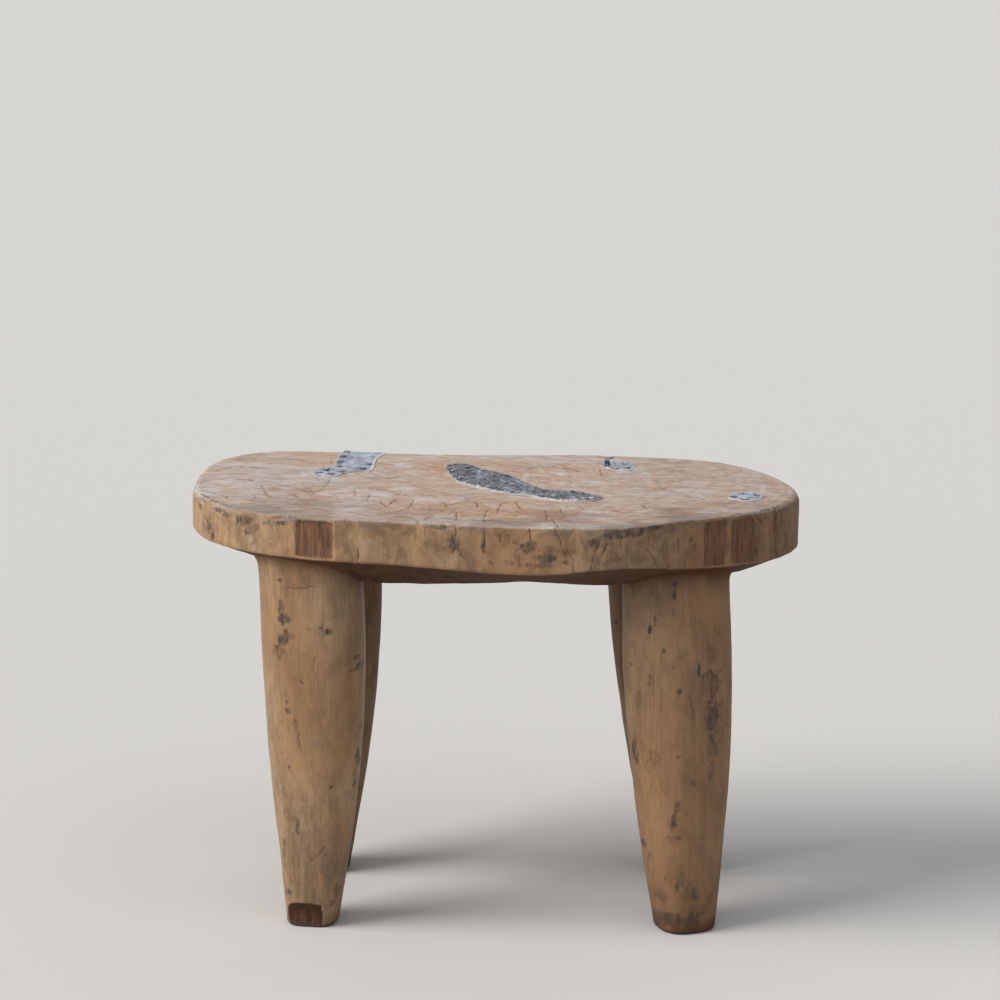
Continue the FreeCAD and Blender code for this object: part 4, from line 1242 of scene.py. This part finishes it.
def build_curl(seat, material):
    """Sliver of the back patch, curled up: a strip swept along part of a circle, with its own thickness."""
    patch = PATCHES["back_patch"]
    half = np.array(patch["size"]) / 2
    place = np.array(patch["place"]) * seat.half + np.array(CURL["place"]) * half
    base = float(seat.top(place[:1], place[1:])[0]) + 0.3
    rows, columns = CURL["along"], CURL["across"]
    turn = np.radians(np.linspace(*CURL["turns"], rows))
    t = np.linspace(0, 1, rows)
    across = np.linspace(-1, 1, columns)
    width = CURL["half_width"] + CURL["flare"] * smooth(t, 0.6, 1.0)
    lean = math.radians(CURL["lean"])
    ahead = np.array([math.cos(lean), math.sin(lean)])
    beside = np.array([ahead[1], -ahead[0]])
    sides = []
    for depth in (0.0, CURL["sheet"]):
        radius = CURL["radius"] - CURL["tightening"] * t - depth
        reach = radius * np.cos(turn)
        rise = CURL["radius"] + radius * np.sin(turn)
        flat = place + (ahead * reach[:, None])[:, None] + beside * (across * width[:, None])[..., None]
        z = base + rise[:, None] + 0.5 * across * t[:, None]
        sides.append(np.concatenate([flat, z[..., None]], axis=-1))
    bump = 0.15 * fractal(sides[0], 2.5, 431, 2)[..., None]
    vertices = np.vstack([(side + bump).reshape(-1, 3) for side in sides])
    way = np.tile(np.repeat(t, columns), 2)
    cap = np.exp(-((way - 0.72) / 0.1) ** 2)
    # Painted shade on the curl's body and a painted highlight on its top bend
    marks = {"dirt": 1 - cap, "bright": 0.9 * cap, "rust": 0.3 * (1 - cap), "ridge": cap - 1}
    faces = sheet_faces(rows, columns)
    new_piece("back_patch_curl", vertices, faces, marks, "back_patch", material, sharp=40.0)


# Materials


class Shader:
    """Short calls to add and join the nodes of one material."""

    def __init__(self, name):
        self.material = bpy.data.materials.new(name + "_finish")
        self.material.use_nodes = True
        self.tree = self.material.node_tree
        self.bsdf = self.tree.nodes["Principled BSDF"]
        self.coords = self.tree.nodes.new("ShaderNodeTexCoord").outputs["Object"]

    def join(self, value, socket):
        """Links a socket's value, or writes a plain one, to another socket."""
        if isinstance(value, bpy.types.NodeSocket):
            self.tree.links.new(value, socket)
        else:
            socket.default_value = value

    def finish(self, name, value):
        """Sets one of the shader's own sockets."""
        self.join(value, self.bsdf.inputs[name])

    def noise(self, scale, detail=4.0, rough=0.55, distortion=0.0):
        """Noise stretched by a scale per metre along each axis, from 0 to 1."""
        mapping = self.tree.nodes.new("ShaderNodeMapping")
        mapping.inputs["Scale"].default_value = scale
        self.join(self.coords, mapping.inputs["Vector"])
        node = self.tree.nodes.new("ShaderNodeTexNoise")
        self.join(mapping.outputs["Vector"], node.inputs["Vector"])
        inputs = {"Scale": 1.0, "Detail": detail, "Roughness": rough, "Distortion": distortion}
        for name, value in inputs.items():
            node.inputs[name].default_value = value
        return node.outputs["Fac"]

    def attribute(self, name):
        """One of the mesh's marks."""
        node = self.tree.nodes.new("ShaderNodeAttribute")
        node.attribute_name = name
        return node.outputs["Fac"]

    def math(self, operation, a, b=0.0):
        """Sum of two values or sockets, by the operation's name."""
        node = self.tree.nodes.new("ShaderNodeMath")
        node.operation = operation
        self.join(a, node.inputs[0])
        self.join(b, node.inputs[1])
        return node.outputs["Value"]

    def plus(self, a, b):
        return self.math("ADD", a, b)

    def minus(self, a, b):
        return self.math("SUBTRACT", a, b)

    def times(self, a, b):
        return self.math("MULTIPLY", a, b)

    def range(self, value, low, high, to_low=0.0, to_high=1.0):
        """One value below a low, another above a high, and a smooth step between."""
        node = self.tree.nodes.new("ShaderNodeMapRange")
        node.interpolation_type = "SMOOTHSTEP"
        self.join(value, node.inputs["Value"])
        inputs = {"From Min": low, "From Max": high, "To Min": to_low, "To Max": to_high}
        for name, limit in inputs.items():
            node.inputs[name].default_value = limit
        return node.outputs["Result"]

    def mix(self, share, first, second, blend="MIX"):
        """One colour for a share of 0, another for 1."""
        node = self.tree.nodes.new("ShaderNodeMix")
        node.data_type = "RGBA"
        node.blend_type = blend
        self.join(share, node.inputs["Factor"])
        for colour, name in ((first, "A"), (second, "B")):
            socket = [s for s in node.inputs if s.name == name and s.type == "RGBA"][0]
            plain = not isinstance(colour, bpy.types.NodeSocket)
            self.join((*colour, 1.0) if plain else colour, socket)
        return [s for s in node.outputs if s.type == "RGBA"][0]

    def blend(self, share, first, second):
        """One value for a share of 0, another for 1, and between them in between."""
        return self.plus(first, self.times(share, self.minus(second, first)))

    def contours(self, value, count, width):
        """Thin lines where a value passes each of a count of even levels, wider where it is flatter."""
        level = self.math("FRACT", self.times(value, count))
        return self.range(self.math("ABSOLUTE", self.minus(level, 0.5)), 0.0, width, 1.0, 0.0)

    def line(self, name, width):
        """Thin line where the distance across a drawn line, kept beside its mark, is less than a width."""
        gap = self.math("DIVIDE", self.math("ABSOLUTE", self.attribute(name + "_side")), width)
        return self.times(self.range(gap, 0.6, 1.3, 1.0, 0.0), self.attribute(name))

    def torn(self, name, fine, roughness, most):
        """A mark whose soft edge is broken up by fine noise, from 0 to a most."""
        value = self.plus(self.attribute(name), self.times(fine, roughness))
        shown = self.times(value, self.range(self.attribute(name), 0.0, 0.25))
        return self.range(shown, 0.1, 0.95, 0.0, most)

    def bump(self, height, distance, strength, normal=None):
        """Normal of a fine relief, laid over another where one is given."""
        node = self.tree.nodes.new("ShaderNodeBump")
        node.inputs["Strength"].default_value = strength
        node.inputs["Distance"].default_value = distance
        self.join(height, node.inputs["Height"])
        if normal is not None:
            self.join(normal, node.inputs["Normal"])
        return node.outputs["Normal"]


def side_colour(s, finish, hair, fibre, clouds, grain):
    """Upright fibres of the rim and legs with their grime and flecks, and the tone under them."""
    patchy = s.noise((28, 28, 9), 4.0, 0.6, 0.4)
    broad = s.noise((9, 9, 4), 3.0, 0.5)
    fibres = s.plus(s.times(hair, 0.48), s.times(fibre, 0.52))
    tone = s.blend(s.plus(s.times(grain, 0.28), 0.18), s.blend(grain, clouds, patchy), fibres)
    side = s.mix(s.range(tone, 0.35, 0.65), finish.side_dark, finish.side_light)
    side = s.mix(s.range(broad, 0.44, 0.66, 0.0, 0.55), side, finish.side_orange)
    side = s.mix(s.range(clouds, 0.36, 0.52, 0.3, 0.0), side, SIDE_GRIME)
    flecks = s.range(s.noise((520, 520, 60), 3.0, 0.6), 0.62, 0.7, 0.0, 0.4)
    return s.mix(flecks, side, SIDE_FLECKS), tone


def top_colour(s, finish, pores, mottled, rust):
    """End grain of the top: mottling, pale and brown streaks, pores, growth rings and rust-brown figure."""
    wide = s.noise((12, 12, 12), 4.0, 0.55, 0.5)
    face = s.mix(s.range(mottled, 0.34, 0.66), finish.top_dark, finish.top_light)
    face = s.mix(s.range(wide, 0.42, 0.64, 0.0, 0.45), face, finish.top_warm)
    streaks = s.noise((42, 330, 42), 5.0, 0.7, 0.8)
    face = s.mix(s.range(streaks, 0.36, 0.47, 0.66, 0.0), face, TOP_BROWN)
    face = s.mix(s.range(streaks, 0.55, 0.66, 0.0, 0.6), face, TOP_BLEACHED)
    face = s.mix(s.range(pores, 0.36, 0.48, 0.4, 0.0), face, TOP_PORES)
    wave = s.times(s.noise((30, 30, 30), 4.0, 0.6), 2.2)
    rings = s.contours(s.plus(s.times(s.attribute("rings"), 0.075), wave), 1.0, 0.24)
    patches = s.range(s.noise((24, 60, 24), 4.0, 0.6), 0.4, 0.54)
    face = s.mix(s.times(s.times(rings, patches), 0.42), face, TOP_RINGS)
    dashes = s.range(s.noise((85, 210, 85), 4.0, 0.6, 0.8), 0.56, 0.66)
    face = s.mix(s.times(dashes, s.plus(s.times(rust, 0.5), 0.14)), face, RUST_DASHES)
    loops = s.contours(s.noise((55, 30, 40), 1.5, 0.4, 1.6), 3.0, 0.1)
    return s.mix(s.times(loops, s.plus(s.times(rust, 0.4), 0.02)), face, RUST_LOOPS)


def drawn_lines(s, colour, pores):
    """Rust-brown lines, grey streaks and cracks over a colour, and where the cracks are."""
    uneven = s.noise((150, 150, 150), 3.0, 0.6)
    fading = s.range(s.noise((45, 45, 45), 4.0, 0.65), 0.4, 0.56, 0.4, 1.0)
    rust_line = s.times(s.line("line", s.range(uneven, 0.35, 0.65, 0.35, 1.6)), fading)
    colour = s.mix(rust_line, colour, s.mix(pores, *LINE_RANGE))
    grey_line = s.times(s.line("streak", s.range(uneven, 0.35, 0.65, 0.35, 1.8)), fading)
    colour = s.mix(grey_line, colour, STREAK)
    split = s.line("crack", s.range(uneven, 0.35, 0.65, 0.03, 0.44))
    return s.mix(s.times(split, 0.8), colour, CRACK), split


def wood_material():
    """Worn wood: upright fibres on the sides and legs, end grain on the top, grime, rust, cracks and bark."""
    finish = bpy.context.scene.stool_finish
    s = Shader("carved_wood")
    top = s.attribute("top")
    rust = s.attribute("rust")
    hair = s.noise((1100, 1100, 34), 3.0, 0.6)
    fibre = s.noise((300, 300, 13), 4.0, 0.6, 0.2)
    clouds = s.noise((65, 65, 45), 5.0, 0.62, 0.5)
    pores = s.noise((460, 460, 460), 4.0, 0.65)
    mottled = s.noise((50, 110, 50), 5.0, 0.66, 0.6)
    side, tone = side_colour(s, finish, hair, fibre, clouds, s.attribute("grain"))
    colour = s.mix(top, side, top_colour(s, finish, pores, mottled, rust))

    fine = s.minus(s.noise((330, 330, 240), 5.0, 0.72), 0.5)
    pale_tint = s.mix(s.range(mottled, 0.38, 0.62), *PALE_RANGE)
    rust_tint = s.mix(s.range(pores, 0.4, 0.6), *RUST_RANGE)
    strands = s.noise((380, 380, 45), 5.0, 0.66, 0.4)
    bark_tint = s.mix(s.range(strands, 0.32, 0.68), *BARK_RANGE)
    colour = s.mix(s.torn("grey", fine, 1.6, 0.85), colour, s.mix(top, GREY_SIDE, GREY_TOP))
    colour = s.mix(s.torn("pale", fine, 1.2, 0.8), colour, pale_tint)
    colour = s.mix(s.torn("rust", fine, 2.6, 0.36), colour, rust_tint)
    colour = s.mix(s.torn("bark", fine, 0.8, 1.0), colour, bark_tint)
    # Multiplies in the dirt-and-shade tint by the dark mark, which holds painted shade as well as dirt
    colour = s.mix(s.attribute("dark"), colour, finish.dirt, "MULTIPLY")
    stain = s.torn("smudge", s.minus(s.noise((420, 420, 150), 5.0, 0.75), 0.5), 2.4, 0.92)
    depth = s.range(s.noise((130, 130, 70), 4.0, 0.6), 0.36, 0.6, 0.35, 1.0)
    colour = s.mix(s.times(stain, depth), colour, SMUDGE)
    colour, split = drawn_lines(s, colour, pores)
    s.finish("Base Color", colour)

    rough = s.plus(s.range(tone, 0.3, 0.7, 0.5, 0.66), s.range(s.attribute("dark"), 0.1, 0.9, 0.0, 0.25))
    s.finish("Roughness", s.plus(rough, s.times(top, 0.14)))
    s.finish("Specular IOR Level", 0.28)
    side_height = s.plus(s.times(fibre, 0.7), s.times(hair, 0.3))
    height = s.plus(s.times(side_height, s.minus(1.0, top)), s.times(pores, top))
    normal = s.bump(height, 0.0005, 0.4)
    s.finish("Normal", s.bump(s.minus(1.0, split), 0.0006, 0.8, normal))
    return s.material


def metal_material(name, metallic, rough, grain=(160, 160, 160), contrast=0.12, middle=0.55):
    """Old metal: blotches of two greys, lighter on its ridges as painted light, dirt and painted shade in its
    folds, bare edges with painted highlights, and rust at its nails.
    """
    finish = bpy.context.scene.stool_finish
    s = Shader(name)
    fine = s.noise((900, 900, 900), 4.0, 0.6)
    blotch = s.noise(grain, 5.0, 0.65, 0.9)
    scratch = s.noise((60, 700, 60), 4.0, 0.6)
    # Painted light: the crumple's ridges lighter, its hollows darker
    tone = s.plus(blotch, s.times(s.attribute("ridge"), 0.12))
    dark = getattr(finish, name + "_dark")
    light = getattr(finish, name + "_light")
    colour = s.mix(s.range(tone, middle - contrast, middle + contrast), dark, light)
    colour = s.mix(s.times(s.attribute("dirt"), s.range(fine, 0.35, 0.6, 0.45, 1.0)), colour, METAL_DIRT_AND_SHADE)
    colour = s.mix(s.times(s.attribute("rust"), s.range(blotch, 0.42, 0.62, 0.0, 0.7)), colour, METAL_RUST)
    # Bare metal and painted highlights where the bright mark is
    colour = s.mix(s.times(s.attribute("bright"), s.range(fine, 0.3, 0.6, 0.5, 1.0)), colour, METAL_BARE_AND_HIGHLIGHT)
    s.finish("Base Color", colour)
    s.finish("Metallic", metallic)
    s.finish("Roughness", s.range(blotch, 0.3, 0.7, rough - 0.08, rough + 0.15))
    s.finish("Normal", s.bump(s.plus(s.times(blotch, 0.7), s.times(scratch, 0.3)), 0.0006, 0.6))
    return s.material


MATERIALS = {}


def material(name):
    """Material by name, made at its first use."""
    if name not in MATERIALS:
        MATERIALS[name] = metal_material(name, **METALS[name]) if name in METALS else wood_material()
    return MATERIALS[name]


# Stage


def build_floor():
    """Pale plain floor that catches the shadow."""
    bpy.ops.mesh.primitive_plane_add(size=FLOOR_SIZE)
    floor = bpy.context.object
    floor.name = "floor"
    paint = bpy.data.materials.new("floor_paint")
    paint.use_nodes = True
    shader = paint.node_tree.nodes["Principled BSDF"]
    shader.inputs["Base Color"].default_value = FLOOR_COLOUR
    shader.inputs["Roughness"].default_value = 0.9
    shader.inputs["Specular IOR Level"].default_value = 0.1
    floor.data.materials.append(paint)


def build_world(ambient):
    """Even light from all round, seen as a pale backdrop by the camera and by shiny things."""
    world = bpy.data.worlds.new("studio")
    bpy.context.scene.world = world
    world.use_nodes = True
    tree = world.node_tree
    back = tree.nodes["Background"]
    back.inputs["Color"].default_value = BACKDROP_COLOUR
    path = tree.nodes.new("ShaderNodeLightPath")
    seen = path.outputs["Is Camera Ray"]
    for name in ("Is Glossy Ray", "Is Transmission Ray"):
        largest = tree.nodes.new("ShaderNodeMath")
        largest.operation = "MAXIMUM"
        tree.links.new(seen, largest.inputs[0])
        tree.links.new(path.outputs[name], largest.inputs[1])
        seen = largest.outputs["Value"]
    strength = tree.nodes.new("ShaderNodeMapRange")
    tree.links.new(seen, strength.inputs["Value"])
    strength.inputs["To Min"].default_value = ambient
    strength.inputs["To Max"].default_value = 1.0
    tree.links.new(strength.outputs["Result"], back.inputs["Strength"])


def add_sun(strength, name, direction, softness, colour):
    """Soft distant light that shines along a direction, its softness in degrees."""
    data = bpy.data.lights.new(name, "SUN")
    data.energy = strength
    data.angle = math.radians(softness)
    data.color = colour
    lamp = bpy.data.objects.new(name, data)
    x, y, z = direction
    lamp.rotation_euler = Euler((math.atan2(math.hypot(x, y), -z), 0, math.atan2(-x, y)))
    bpy.context.scene.collection.objects.link(lamp)


def build_camera(stage):
    """Camera at the photograph's viewing angle."""
    data = bpy.data.cameras.new("camera")
    data.lens = stage.lens
    data.sensor_width = 36.0
    data.clip_end = 300.0
    camera = bpy.data.objects.new("camera", data)
    tilt = Matrix.Rotation(math.pi / 2 - stage.pitch, 4, "X")
    roll = Matrix.Rotation(stage.roll, 4, "Z")
    camera.matrix_world = Matrix.Translation(stage.camera) @ tilt @ roll
    bpy.context.scene.collection.objects.link(camera)
    bpy.context.scene.camera = camera


# Operators


def seat_shape():
    """Seat from its settings."""
    return SeatShape(in_mm(bpy.context.scene.stool_seat))


class STOOL_OT_seat(Operator):
    """Builds the seat: its worn top, rim, bevel and underside"""

    bl_idname = "stool.seat"
    bl_label = "Seat"

    def execute(self, context):
        seat = seat_shape()
        build_seat_core(seat, material("carved_wood"))
        build_seat_ring(seat, material("carved_wood"))
        return {"FINISHED"}


class STOOL_OT_legs(Operator):
    """Builds the four carved legs"""

    bl_idname = "stool.legs"
    bl_label = "Legs"

    def execute(self, context):
        seat = seat_shape()
        legs = in_mm(context.scene.stool_legs)
        for name in LEGS:
            build_leg(name, seat, legs, material("carved_wood"))
        return {"FINISHED"}


class STOOL_OT_patches(Operator):
    """Builds the sheet metal patches"""

    bl_idname = "stool.patches"
    bl_label = "Patches"

    def execute(self, context):
        seat = seat_shape()
        metal = in_mm(context.scene.stool_metal)
        for name, patch in PATCHES.items():
            build_patch(name, seat, metal, material(patch["finish"]))
        build_curl(seat, material(PATCHES["back_patch"]["finish"]))
        return {"FINISHED"}


class STOOL_OT_nails(Operator):
    """Builds the nails of every patch"""

    bl_idname = "stool.nails"
    bl_label = "Nails"

    def execute(self, context):
        seat = seat_shape()
        metal = in_mm(context.scene.stool_metal)
        for name, patch in PATCHES.items():
            build_nails(name, seat, metal, material(patch["nail_finish"]))
        return {"FINISHED"}


class STOOL_OT_stage(Operator):
    """Builds the floor, the light and the camera"""

    bl_idname = "stool.stage"
    bl_label = "Stage"

    def execute(self, context):
        stage = context.scene.stool_stage
        build_floor()
        build_world(stage.ambient)
        add_sun(stage.key, *KEY)
        add_sun(stage.fill, *FILL)
        build_camera(stage)
        context.scene.view_settings.view_transform = "Standard"
        return {"FINISHED"}


class STOOL_PT_panel(Panel):
    """Buttons and sizes of the stool"""

    bl_idname = "STOOL_PT_panel"
    bl_label = "Carved stool"
    bl_space_type = "VIEW_3D"
    bl_region_type = "UI"
    bl_category = "Stool"

    def draw(self, context):
        for operator in OPERATORS:
            self.layout.operator(operator.bl_idname)
        for group in GROUPS:
            settings = getattr(context.scene, group)
            for name in settings.__annotations__:
                self.layout.prop(settings, name)


OPERATORS = (STOOL_OT_seat, STOOL_OT_legs, STOOL_OT_patches, STOOL_OT_nails, STOOL_OT_stage)
GROUPS = {
    "stool_seat": SeatSettings,
    "stool_legs": LegSettings,
    "stool_metal": MetalSettings,
    "stool_finish": FinishSettings,
    "stool_stage": StageSettings,
}


def register():
    """Adds the settings, operators and panel to Blender."""
    for group in GROUPS.values():
        bpy.utils.register_class(group)
    for name, group in GROUPS.items():
        setattr(bpy.types.Scene, name, PointerProperty(type=group))
    for operator in OPERATORS:
        bpy.utils.register_class(operator)
    bpy.utils.register_class(STOOL_PT_panel)


def unregister():
    """Takes them out again, last first."""
    bpy.utils.unregister_class(STOOL_PT_panel)
    for operator in reversed(OPERATORS):
        bpy.utils.unregister_class(operator)
    for name in GROUPS:
        delattr(bpy.types.Scene, name)
    for group in reversed(list(GROUPS.values())):
        bpy.utils.unregister_class(group)


def main():
    """Builds the stool on its stage."""
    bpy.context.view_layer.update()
    register()
    bpy.ops.stool.stage()
    bpy.ops.stool.seat()
    bpy.ops.stool.legs()
    bpy.ops.stool.patches()
    bpy.ops.stool.nails()


if __name__ == "__main__":
    main()
